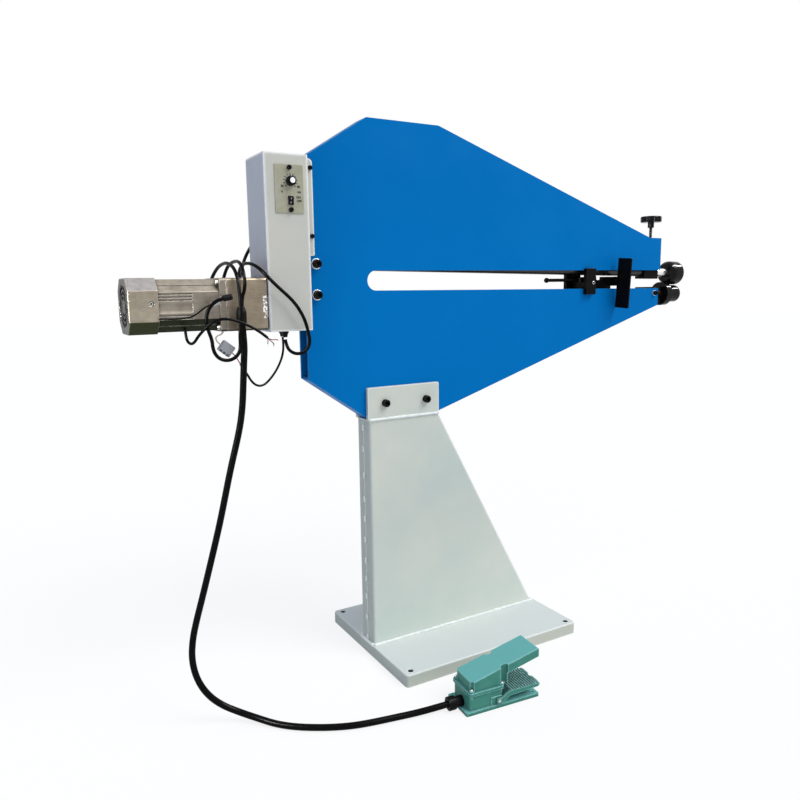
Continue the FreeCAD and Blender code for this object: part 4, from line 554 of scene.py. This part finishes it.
plasticSettings["connectorGrey"] = {
    **plasticSettings["greyPlastic"],
    "block": {"centre": (-0.604, -0.07, 0.796), "turn": 39, "half": (0.01402, 0.00702, 0.01202)},
    "other": [((0.36, 0.03, 0.025), [("X", -0.6, -0.55)]),
              ((0.5, 0.44, 0.36), [("Z", 0.803, 0.85)])]}

mouldSettings = {"dust": (42, 5, 0.65), "edgeDustAndHighlight": 0.5, "dull": (110, 3), "grain": (2, 0.5),
                 "grainDepth": 0.0002}


def makePlastic(name, s):
    mould = mouldSettings
    plastic = Finish(name, s)
    edge = plastic.soften(s["edge"])
    dusty = plastic.level(plastic.noise(*mould["dust"]), 0.0, 1.0)
    body = plastic.mix(plastic.calc("MULTIPLY", dusty, s["dustShare"]), s["colour"], s["dust"])
    # edges take the lighter dust colour, partly dust and partly a painted highlight
    body = plastic.mix(plastic.calc("MULTIPLY", edge, mould["edgeDustAndHighlight"]), body, s["dust"])
    for colour, limits in s.get("other", []):
        share = plastic.inside(limits)
        if "block" in s:
            share = plastic.calc("MULTIPLY", share, plastic.outsideBox(**s["block"]))
        body = plastic.mix(share, body, colour)
    plastic.set("Base Color", body)
    plastic.set("Roughness", plastic.level(plastic.noise(*mould["dull"]), *s["rough"]))
    plastic.bump(plastic.noise(s["grain"], *mould["grain"]), s["depth"], mould["grainDepth"])
    return plastic.mat


finishes = {}
for maker, table in ((makePaint, paintSettings), (makeMetal, metalSettings), (makePlastic, plasticSettings)):
    for name, s in table.items():
        finishes[name] = maker(name, s)
print("finishes made:", len(finishes))


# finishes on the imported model's own nodes

nodeFinishes = {
    "palePaint": ["stand_front_shell", "stand_back_shell", "saddle_plates"],
    "basePaint": ["base_plate"],
    "bluePaint": ["frame_front_plate", "frame_back_plate", "frame_top_strip", "frame_bottom_strip",
                  "nose_block"],
    "boxPaint": ["control_box"],
    "tealPaint": ["foot_housing", "foot_hood"],
    "treadPaint": ["foot_treadle"],
    "boltBlack": ["frame_bolts"],
    # the motor mount plate is black so the seam between gearbox and box shows a dark line, partly painted
    # shade of that gap
    "blackOxide": ["box_screws", "front_lower_bearing", "upper_front_bearing", "gauge_front_cheek",
                   "gauge_back_cheek", "gauge_block", "gauge_arm", "guide_plate", "clamp_lever", "lower_nut",
                   "upper_nut", "motor_mount_plate"],
    "rollSteel": ["lower_roll", "upper_roll"],
    "upperShaft": ["upper_shaft"],
    "darkSteel": ["lower_shaft", "tension_screw"],
    "groundSteel": ["rear_lower_bearing", "upper_rear_bearing", "output_shaft", "shaft_coupling",
                    "pressure_pad"],
    "gearSteel": ["lower_gear", "upper_gear"],
    "satinAluminium": ["motor_flange", "motor_body"],
    "gearboxAluminium": ["gearbox"],
    "cowlAluminium": ["motor_rear_cap"],
    "grilleWire": ["rear_grille"],
    "brightZinc": ["motor_screws", "foot_fasteners"],
    "blackPlastic": ["controller_housing", "cooling_fan", "cable_glands"],
    "bootRubber": ["cable_boots"],
    "glossPlastic": ["speed_knob", "rocker_switch", "tension_knob"],
    "panelPlate": ["controller_panel"],
    "connectorGrey": ["connector_block"],
}

for finishName, nodeNames in nodeFinishes.items():
    for nodeName in nodeNames:
        node = nodes[nodeName]
        if not node.material_slots:
            node.data.materials.append(finishes[finishName])
        for slot in node.material_slots:
            slot.material = finishes[finishName]
print("nodes left to pieces:", sorted(set(nodes) - {n for group in nodeFinishes.values() for n in group}))


# short ways to make a piece

def addMesh(name, mesh, finish, body):
    mesh.materials.clear()
    mesh.materials.append(finishes[finish])
    piece = placed(name, mesh)
    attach(piece, body)
    return piece


def baked(source):
    # what a curve, a text or a Geometry Nodes modifier makes, as a plain mesh
    view = bpy.context.evaluated_depsgraph_get()
    view.update()
    mesh = bpy.data.meshes.new_from_object(source.evaluated_get(view), depsgraph=view)
    mesh.name = source.name
    bpy.data.objects.remove(source)
    return mesh


def meshOf(name, shape):
    mesh = bpy.data.meshes.new(name)
    shape.to_mesh(mesh)
    shape.free()
    return mesh


def joined(name, meshes):
    shape = bmesh.new()
    for mesh in meshes:
        shape.from_mesh(mesh)
        bpy.data.meshes.remove(mesh)
    return meshOf(name, shape)


def barMesh(size, place):
    shape = bmesh.new()
    bmesh.ops.create_cube(shape, size=1, matrix=place @ Matrix.Diagonal((*size, 1)))
    return meshOf("bar", shape)


def discMesh(radius, thick, sides, place):
    shape = bmesh.new()
    bmesh.ops.create_cone(shape, cap_ends=True, segments=sides, radius1=radius, radius2=radius, depth=thick,
                          matrix=place)
    return meshOf("disc", shape)


def textMesh(words, size, place, s):
    data = bpy.data.curves.new("words", "FONT")
    data.body = words
    data.size = size
    data.extrude = s["thick"] / 2
    data.offset = s["bold"]
    data.align_x = data.align_y = "CENTER"
    data.resolution_u = s["steps"]
    mesh = baked(placed("words", data))
    mesh.transform(place)
    return mesh


def roundCurve(name, points, radius, s):
    data = bpy.data.curves.new(name, "CURVE")
    data.dimensions = "3D"
    spline = data.splines.new("NURBS")
    spline.points.add(len(points) - 1)
    for point, at in zip(spline.points, points):
        point.co = (*at, 1)
    spline.order_u = 3
    spline.use_endpoint_u = True
    data.resolution_u = s["steps"]
    data.bevel_depth = radius
    data.bevel_resolution = s["bevelSteps"]
    data.use_fill_caps = True
    return data


class ShapeNodes(NodeTree):
    # a Geometry Nodes tree being built; inputs are kept by name with their identifiers
    def __init__(self, name, inputs):
        super().__init__(bpy.data.node_groups.new(name, "GeometryNodeTree"))
        sockets = self.tree.interface
        self.ids = {}
        for label, kind in inputs.items():
            made = sockets.new_socket(name=label, in_out="INPUT", socket_type="NodeSocket" + kind)
            self.ids[label] = made.identifier
        sockets.new_socket(name="Result", in_out="OUTPUT", socket_type="NodeSocketGeometry")
        self.given = self.tree.nodes.new("NodeGroupInput").outputs
        self.end = self.tree.nodes.new("NodeGroupOutput")

    def close(self, shape):
        solid = self.made("GeometryNodeRealizeInstances", Geometry=shape)
        smooth = self.made("GeometryNodeSetShadeSmooth", Geometry=solid, Shade_Smooth=True)
        done = self.made("GeometryNodeSetMaterial", Geometry=smooth, Material=self.given["Finish"])
        self.feed(self.end.inputs[0], done)
        return self

    def run(self, name, mesh, finish, values):
        source = placed(name, mesh)
        modifier = source.modifiers.new("nodes", "NODES")
        modifier.node_group = self.tree
        for label, value in {**values, "Finish": finishes[finish]}.items():
            modifier[self.ids[label]] = value
        return baked(source)


# weld beads: overlapping flattened drops along a line

dropSettings = {
    "subdivisions": 3,
    # along each axis: seed of its unevenness, and its half size as a share of what length
    "sizes": {"X": (3, 0.85, "Pitch"), "Y": (11, 0.5, "Width"), "Z": (19, 0.5, "Width")},
}


def makeBeadNodes(s):
    g = ShapeNodes("weldBead", {"Path": "Geometry", "Pitch": "Float", "Width": "Float", "Uneven": "Float",
                                "Finish": "Material"})
    line = g.made("GeometryNodeMeshToCurve", Mesh=g.given["Path"])
    points = g.made("GeometryNodeResampleCurve", {"mode": "LENGTH"}, Curve=line, Length=g.given["Pitch"])
    drop = g.made("GeometryNodeMeshIcoSphere", Radius=1.0, Subdivisions=s["subdivisions"])
    along = g.made("FunctionNodeAlignRotationToVector", {"axis": "X"},
                   Vector=g.made("GeometryNodeInputTangent"))
    low = g.calc("SUBTRACT", 1.0, g.given["Uneven"])
    high = g.calc("ADD", 1.0, g.given["Uneven"])
    sizes = {}
    for axis, (seed, share, length) in s["sizes"].items():
        swing = g.add("FunctionNodeRandomValue", {"data_type": "FLOAT"}, Min=low, Max=high, Seed=seed)
        drawn = [x for x in swing.outputs if x.enabled][0]
        sizes[axis] = g.calc("MULTIPLY", drawn, g.calc("MULTIPLY", g.given[length], share))
    drops = g.made("GeometryNodeInstanceOnPoints", Points=points, Instance=drop, Rotation=along,
                   Scale=g.made("CombineXYZ", **sizes))
    return g.close(drops)


def lineMesh(runs):
    # separate lines, each a list of points, as edges
    points, edges = [], []
    for run in runs:
        first = len(points)
        points += run
        edges += [(first + i, first + i + 1) for i in range(len(run) - 1)]
    mesh = bpy.data.meshes.new("lines")
    mesh.from_pydata(points, edges, [])
    return mesh


beadSettings = {
    "topBead": {"pitch": 0.0026, "width": 0.0075, "uneven": 0.16,
                "runs": [[(-0.2545, y, 0.6035), (-0.062, y, 0.6035)] for y in (-0.0338, 0.0338)]},
    "footBead": {"pitch": 0.0028, "width": 0.0085, "uneven": 0.18,
                 "runs": [[(-0.254, y, 0.0312), (0.247, y, 0.0312)] for y in (-0.0345, 0.0345)]
                 + [[(x, -0.030, 0.0312), (x, 0.030, 0.0312)] for x in (-0.2583, 0.2512)]},
    "seamBead": {"pitch": 0.0024, "width": 0.0062, "uneven": 0.2,
                 "runs": [[(-0.2572, 0, z - 0.006), (-0.2572, 0.0004, z + 0.006)]
                          for z in (0.04, 0.0945, 0.15, 0.195, 0.244, 0.298, 0.352, 0.402, 0.462, 0.528,
                                    0.582)]},
}


def makeBead(name, beadNodes, s):
    values = {"Pitch": s["pitch"], "Width": s["width"], "Uneven": s["uneven"]}
    mesh = beadNodes.run(name, lineMesh(s["runs"]), "beadPaint", values)
    addMesh(name, mesh, "beadPaint", "machine")


beadNodes = makeBeadNodes(dropSettings)
for name, s in beadSettings.items():
    makeBead(name, beadNodes, s)
print("weld beads laid")


# bars set round an axis: the dial's scale, the rocker's ring and the grip of the foot switch's gland

def makeRingNodes():
    g = ShapeNodes("barsInRing", {"Nothing": "Geometry", "Count": "Int", "Radius": "Float", "From": "Float",
                                  "Step": "Float", "Bar": "Vector", "Finish": "Material"})
    line = g.made("GeometryNodeMeshLine", Count=g.given["Count"], Offset=(0, 0, 0))
    bar = g.made("GeometryNodeMeshCube", Size=g.given["Bar"])
    turn = g.calc("MULTIPLY", g.made("GeometryNodeInputIndex"), g.given["Step"])
    angle = g.made("CombineXYZ", Y=g.calc("ADD", turn, g.given["From"]))
    bars = g.made("GeometryNodeInstanceOnPoints", Points=line, Instance=bar, Rotation=angle)
    outwards = g.made("CombineXYZ", Z=g.given["Radius"])
    return g.close(g.made("GeometryNodeTranslateInstances", Instances=bars, Translation=outwards,
                          Local_Space=True))


ringNodes = makeRingNodes()


def ringMesh(name, s, finish, place):
    mesh = ringNodes.run(name, bpy.data.meshes.new("none"), finish, {
        "Count": s["count"], "Radius": s["radius"], "From": math.radians(s["start"]),
        "Step": math.radians(s["step"]), "Bar": s["bar"]})
    mesh.transform(place)
    for face in mesh.polygons:
        face.use_smooth = False
    return mesh


dialSettings = {
    "centre": (-0.4465, -0.0605, 1.1394),
    "scale": {"count": 11, "radius": 0.0142, "start": -135, "step": 27, "bar": (0.0019, 0.00012, 0.004)},
    "words": [("20", 0.0046, (-0.0186, -0.0112)), ("80", 0.0046, (0.0182, -0.0112)),
              ("0", 0.004, (-0.0192, -0.0225)), ("100", 0.004, (0.0186, -0.0225)),
              ("ON", 0.0046, (0.0172, -0.033)), ("OFF", 0.0046, (0.0186, -0.0405))],
    "fontSize": 1.4,           # for letters of height 1
    "thick": 0.00012, "bold": 0.00035, "steps": 4,
}


def makeDialPrint(s):
    x, y, z = s["centre"]
    parts = [ringMesh("scale", s["scale"], "darkPrint", moved(x, y, z))]
    for words, height, (right, up) in s["words"]:
        place = moved(x + right, y, z + up) @ standing
        parts.append(textMesh(words, height * s["fontSize"], place, s))
    addMesh("dialPrint", joined("dialPrint", parts), "darkPrint", "machine")


knobSettings = {"face": -0.0748, "radius": 0.0056, "thick": 0.0004, "sides": 48,
                "pointer": (0.0011, 0.0003, 0.0058), "pointerAt": (0, 0.0049, 0.0076)}


def makeKnobTop(s):
    x, _, z = dialSettings["centre"]
    at = moved(x, s["face"] - s["thick"] / 2, z)
    cap = discMesh(s["radius"], s["thick"], s["sides"], at @ standing)
    addMesh("knobCap", cap, "capMetal", "dial")
    pointer = barMesh(s["pointer"], moved(x, s["face"], z) @ moved(*s["pointerAt"]))
    addMesh("knobPointer", pointer, "whitePrint", "dial")


def onFace(node, x, z, ahead=2.0):
    # where a line along +Y through (x, z) first meets a node, as a place that faces out of it
    hit, at, out, _ = nodes[node].ray_cast(Vector((x, -ahead, z)), Vector((0, 1, 0)))
    if not hit:
        raise RuntimeError("nothing of " + node + " there")
    return moved(*at) @ outOf(out, Vector((0, 0, 1)).cross(out))


rockerSettings = {"node": "rocker_switch", "x": -0.447, "barZ": 1.1035, "ringZ": 1.0955,
                  "bar": (0.001, 0.0032, 0.0002),
                  "ring": {"count": 18, "radius": 0.0013, "start": 0, "step": 20,
                           "bar": (0.0006, 0.0002, 0.0005)}}


def makeRockerMarks(s):
    bar = barMesh(s["bar"], onFace(s["node"], s["x"], s["barZ"]))
    ring = ringMesh("ring", s["ring"], "whitePrint", onFace(s["node"], s["x"], s["ringZ"]) @ standing)
    addMesh("rockerMarks", joined("rockerMarks", [bar, ring]), "whitePrint", "rocker")


# dark discs as painted shade in the sockets of the motor cap's screws, and the ring screw of the gauge's
# front cheek

screwSettings = {
    "capSockets": {"finish": "darkPrint", "body": "machine", "slot": "black_plastic", "radius": 0.0021,
                   "thick": 0.0004, "at": [(-0.743, -0.0539, 0.89), (-0.743, 0.0539, 0.89)]},
    "cheekRing": {"finish": "brightZinc", "body": "gauge", "slot": "machined_steel", "radius": 0.0047,
                  "thick": 0.0012, "at": [(0.457, -0.0354, 0.921)]},
    "cheekSocket": {"finish": "darkPrint", "body": "gauge", "slot": "black_plastic", "radius": 0.0034,
                    "thick": 0.0015, "at": [(0.457, -0.03535, 0.921)]},
}


def makeScrewMarks(name, s, sides=24):
    discs = [discMesh(s["radius"], s["thick"], sides, moved(*at) @ standing) for at in s["at"]]
    addMesh(name, joined(name, discs), s["finish"], s["body"])


glandSettings = {"corner": (-0.2082, -0.3637, 0), "turn": -5.28, "at": (-0.017, 0.04, 0.016),
                 "grip": {"count": 20, "radius": 0.0142, "start": 0, "step": 18,
                          "bar": (0.0017, 0.0155, 0.0016)}}


def makeGlandGrip(s):
    place = moved(*s["corner"]) @ turned("Z", s["turn"]) @ moved(*s["at"]) @ turned("Z", -90)
    grip = ringMesh("glandGrip", s["grip"], "blackPlastic", place)
    addMesh("glandGrip", grip, "blackPlastic", "machine")


makeDialPrint(dialSettings)
makeKnobTop(knobSettings)
makeRockerMarks(rockerSettings)
makeGlandGrip(glandSettings)
for name, s in screwSettings.items():
    makeScrewMarks(name, s)
print("panel marks and gland grip made")


# tension screw with its real thread

threadSettings = {
    "x": 0.7197, "low": 0.9726, "high": 1.1075, "pitch": 0.003, "crest": 0.005, "root": 0.0034,
    "ridgeFoot": 0.72, "ridgeTip": 0.34, "endGap": 0.6,      # in pitches
    "turnSteps": 32, "coreSides": 40,
}


def makeThreadNodes(s):
    g = ShapeNodes("thread", {"Nothing": "Geometry", "Turns": "Float", "Height": "Float", "Crest": "Float",
                              "Root": "Float", "Pitch": "Float", "Finish": "Material"})
    crest, root, pitch, height = (g.given[name] for name in ("Crest", "Root", "Pitch", "Height"))
    middle = g.calc("MULTIPLY", g.calc("ADD", crest, root), 0.5)
    helix = g.made("GeometryNodeCurveSpiral", Resolution=s["turnSteps"], Rotations=g.given["Turns"],
                   Start_Radius=middle, End_Radius=middle, Height=height)
    section = g.made("GeometryNodeCurvePrimitiveQuadrilateral", {"mode": "TRAPEZOID"},
                     Bottom_Width=g.calc("MULTIPLY", pitch, s["ridgeFoot"]),
                     Top_Width=g.calc("MULTIPLY", pitch, s["ridgeTip"]),
                     Height=g.calc("SUBTRACT", crest, root), Offset=0.0)
    upright = g.made("GeometryNodeSetCurveNormal", {"mode": "Z_UP"}, Curve=helix)
    outwards = g.made("GeometryNodeTransform", Geometry=section, Rotation=(0, 0, math.radians(90)))
    ridge = g.made("GeometryNodeCurveToMesh", Curve=upright, Profile_Curve=outwards, Fill_Caps=True)
    lift = g.made("CombineXYZ", Z=g.calc("MULTIPLY", height, 0.5))
    core = g.made("GeometryNodeMeshCylinder", Vertices=s["coreSides"], Radius=root, Depth=height)
    core = g.made("GeometryNodeTransform", Geometry=core, Translation=lift)
    both = g.add("GeometryNodeJoinGeometry")
    for part in (ridge, core):
        g.feed(both.inputs[0], part)
    return g.close(both.outputs[0])


def makeThread(s):
    gap = s["endGap"] * s["pitch"]
    height = s["high"] - s["low"] - 2 * gap
    mesh = makeThreadNodes(s).run("threadedScrew", bpy.data.meshes.new("none"), "darkSteel", {
        "Turns": height / s["pitch"], "Height": height, "Crest": s["crest"], "Root": s["root"],
        "Pitch": s["pitch"]})
    mesh.transform(moved(s["x"], 0, s["low"] + gap))
    piece = addMesh("threadedScrew", mesh, "darkSteel", "knob")
    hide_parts("tension_screw")


makeThread(threadSettings)
print("tension screw threaded")


# cables and the bare ends of the spare one; routes in millimetres, as in the part's source

drawnRoutes = {
    "footCable": [
        (-226.4, -321.9, 16), (-267.6, -313.4, 12.2), (-307.7, -300.9, 7.5), (-349, -291.8, 7),
        (-390.6, -284, 7.2), (-431.5, -273.4, 7.1), (-470.5, -256.9, 7.1), (-507.1, -235.8, 7.1),
        (-541.7, -211.5, 7), (-572.2, -182.2, 7.5), (-599.1, -149.7, 11.3), (-629.8, -122.3, 20.8),
        (-664, -106.7, 40.1), (-692.3, -101, 71), (-710.4, -93.1, 108.4), (-715.5, -81.8, 148.8),
        (-708.9, -74.4, 189.9), (-697, -72.3, 230.4), (-684.2, -72, 270.7), (-672, -71.9, 311.2),
        (-660, -72.2, 351.8), (-648.3, -73, 392.5), (-637.1, -73.9, 433.2), (-626.6, -74.3, 474.2),
        (-616.3, -74.2, 515.3), (-605.4, -74, 556.2), (-593.5, -74, 596.8), (-582.8, -74, 637.7),
        (-576.2, -74.1, 679.5), (-572.8, -74, 721.7), (-569.3, -73.8, 763.9), (-566, -74.4, 806.1),
        (-570, -75, 848)],
    "controlCable": [
        (-568, -75, 880.2), (-567.3, -75, 899.4), (-560.4, -72.9, 913.5), (-558, -70.8, 929),
        (-557.8, -66.2, 944.1), (-557, -57.3, 957.1), (-556.3, -44.8, 966.8), (-555.7, -30.1, 972.6),
        (-555.1, -14.4, 974.8), (-555.2, 1.4, 975), (-556, 17.2, 973.4), (-557, 32.6, 969.8),
        (-558, 47.1, 963.5), (-559.2, 59.3, 953.5), (-560.4, 69.6, 941.5), (-560.9, 78.4, 928.3),
        (-561.2, 85, 913.9), (-561.7, 89.8, 898.8), (-562.1, 93.6, 883.4), (-560.6, 97, 867.8),
        (-553.1, 99.5, 854.1), (-539.6, 100.7, 846.4), (-524, 100.5, 847.3), (-511.4, 99, 856.5),
        (-505.6, 96.5, 871), (-505.9, 93.8, 886.8), (-506.7, 89.1, 901.9), (-514.3, 84.2, 914.6),
        (-518.4, 78.5, 928.5), (-522.7, 70.6, 941.4), (-527.9, 60.1, 952), (-529.7, 47.1, 960.8),
        (-530, 32.5, 967), (-530.1, 17, 970.3), (-529.3, 1.2, 971.3), (-527.4, -14.5, 970.4),
        (-524.4, -29.8, 967.3), (-520.9, -44.4, 962.1), (-516.9, -57.8, 954.7), (-510.7, -68.2, 944.7),
        (-501.4, -73.6, 933), (-490.3, -75.1, 921.8), (-478.5, -75.3, 911.2), (-466.7, -75.4, 900.6),
        (-455.6, -75.6, 889.3), (-445.9, -75.8, 876.7), (-437.6, -75.6, 863.3), (-430.6, -74.8, 849),
        (-425.1, -73.2, 834.2), (-420.9, -69.8, 819.4), (-415.6, -64.9, 805), (-417.6, -62.3, 789.3),
        (-427.1, -58, 777.7), (-440.3, -50.9, 773.7), (-452.2, -42.1, 778.6), (-458.7, -34.8, 790.6),
        (-461, -34, 806)],
    "motorCable": [
        (-478, 72, 1026), (-481, 86.3, 1021), (-487.1, 95.8, 1010.3), (-495, 97.5, 997),
        (-502.3, 96.3, 983.2), (-507.4, 96, 968.5), (-511.2, 96, 953.4), (-515.1, 96.6, 938.3),
        (-520, 97.7, 923.5), (-526.3, 99.1, 909.3), (-532.8, 101.7, 895.2), (-542.6, 103.1, 883.2),
        (-557.3, 104.3, 878), (-572.5, 102.5, 880.6), (-584.1, 100.4, 890.9), (-588.6, 95.1, 905.3),
        (-588, 89.5, 919.8), (-586.3, 82.5, 933.7), (-583.7, 73, 945.7), (-581.2, 61, 955.3),
        (-579.4, 47.3, 962.6), (-578, 32.5, 967.3), (-577.1, 17.1, 970), (-576.6, 1.6, 971.3),
        (-575.9, -14, 970.8), (-574.7, -29.2, 967.9), (-573.7, -43.8, 962.4), (-573.1, -56.8, 953.8),
        (-572.8, -67.2, 942.2), (-573, -74.6, 928.4), (-573.6, -80.1, 913.9), (-574.1, -84.2, 898.8),
        (-574.6, -87, 883.5), (-575.6, -88.4, 868), (-576.9, -89, 852.4), (-578.1, -89.1, 836.8),
        (-579.4, -88.8, 821.3), (-578.7, -86.8, 805.8), (-580.4, -87.2, 790.3), (-589.9, -86.9, 778),
        (-604.4, -86.5, 772.4), (-619.8, -86.3, 775.2), (-631.4, -86.4, 785.6), (-636, -86.2, 800.5),
        (-636.3, -85, 816), (-641.1, -84.3, 830.8), (-644.9, -83.6, 846), (-644.8, -83, 861.5),
        (-640, -82.3, 876.3), (-630.2, -81.6, 888.4), (-616.8, -80.8, 896.5), (-600.5, -80.3, 899.5)],
    "hangingLead": [
        (-457, -8, 810), (-456.5, -9, 795.9), (-458.2, -12.2, 782.2), (-462.4, -15.8, 769.2),
        (-468.7, -20, 757.2), (-476.4, -24.7, 746.3), (-485, -29.6, 736.2), (-494.6, -34.4, 726.9),
        (-504.9, -39.6, 718.7), (-516.1, -45, 712), (-529, -50.5, 709.9), (-541.6, -54.7, 714.8),
        (-551, -56.7, 725.2), (-557.6, -57.7, 737.6), (-565.4, -59.8, 749.2), (-573, -62, 761)],
    "spareLead": [
        (-676, -34, 835.3), (-675.9, -36.9, 819.6), (-674.3, -46.2, 810.3), (-671, -58.8, 807.7),
        (-667.4, -70.6, 812.5), (-663.2, -78.6, 822.1), (-657.3, -86, 831.4), (-650.1, -92.3, 840.5),
        (-641.4, -97.7, 849), (-630.4, -101.3, 855.4), (-617.6, -103.1, 858.2), (-604.4, -103.7, 857.4),
        (-591.5, -103.9, 854.1), (-579.1, -103.6, 849.4), (-567.1, -102.4, 844), (-555.4, -100.6, 838),
        (-544.2, -98.4, 831.4), (-533.3, -96.1, 824.1), (-523, -94, 816)],
    "motorWires": [
        (-730.5, -57.9, 860), (-715.2, -59, 859.5), (-702.5, -59.9, 859.3), (-689.7, -61.1, 859.7),
        (-677.1, -62.9, 860.8), (-665.2, -65.8, 864.3), (-655.1, -67.5, 871), (-645.5, -67.5, 878.8),
        (-634.3, -67.5, 884.9), (-622.1, -67.5, 888)],
}
routes = {name: [tuple(round(v / 1000, 6) for v in point) for point in points]
          for name, points in drawnRoutes.items()}

plainCable = {"end": "object", "stiff": "medium", "with": [], "steps": 10, "bevelSteps": 5}
cableSettings = {
    "footCable": {**plainCable, "node": "foot_cable", "thick": 0.014, "long": 1.351, "stiff": "stiff",
                  "with": ["cable_boots"]},
    "controlCable": {**plainCable, "node": "control_cable", "thick": 0.0075, "long": 0.882},
    "motorCable": {**plainCable, "node": "motor_cable", "thick": 0.0075, "long": 0.791},
    "hangingLead": {**plainCable, "node": "hanging_lead", "thick": 0.005, "long": 0.211, "end": "connector",
                    "with": ["connector_block"]},
    "spareLead": {**plainCable, "node": "spare_lead", "thick": 0.006, "long": 0.240, "end": "bare"},
    "motorWires": {**plainCable, "node": "motor_wires", "thick": 0.0032, "long": 0.116},
}


def makeCable(name, points, s):
    data = roundCurve(name, points, s["thick"] / 2, s)
    data.materials.append(finishes["rubberSheath"])
    cable = placed(name, data)
    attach(cable, "machine")
    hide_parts(s["node"])
    return cable


bareSettings = {
    "coreRadius": 0.0011, "tipRadius": 0.0006, "tipLength": 0.0028,
    "steps": 8, "bevelSteps": 3,
    "share": 0.72,             # of the last stretch that keeps its sheath
    "cores": {
        "redCore": [(-0.5246, -0.0943, 0.8172), (-0.5165, -0.0935, 0.8118), (-0.509, -0.093, 0.8110),
                    (-0.5015, -0.0925, 0.8112), (-0.4985, -0.0925, 0.8088)],
        "brownCore": [(-0.5246, -0.0943, 0.8172), (-0.518, -0.0945, 0.8105), (-0.5125, -0.0948, 0.8062),
                      (-0.5095, -0.095, 0.8012), (-0.5098, -0.095, 0.7975)],
        "greyCore": [(-0.5246, -0.0943, 0.8172), (-0.522, -0.0948, 0.8108), (-0.5228, -0.0955, 0.806),
                     (-0.5245, -0.096, 0.8012)],
    },
}


def wireMesh(points, radius, s):
    return baked(placed("wire", roundCurve("wire", points, radius, s)))


def makeBareEnds(s):
    made, tips = [], []
    for finish, points in s["cores"].items():
        first, last = Vector(points[-2]), Vector(points[-1])
        cut = first.lerp(last, s["share"])
        end = cut + (last - first).normalized() * s["tipLength"]
        sheath = wireMesh(points[:-1] + [cut], s["coreRadius"], s)
        made.append(addMesh("bare" + finish[0].upper() + finish[1:], sheath, finish, "machine"))
        tips.append(wireMesh([cut, cut.lerp(end, 0.5), end], s["tipRadius"], s))
    made.append(addMesh("bareTips", joined("bareTips", tips), "bareCopper", "machine"))
    return made


cables = {name: makeCable(name, routes[name], s) for name, s in cableSettings.items()}
bareEnds = makeBareEnds(bareSettings)
print("cables laid")
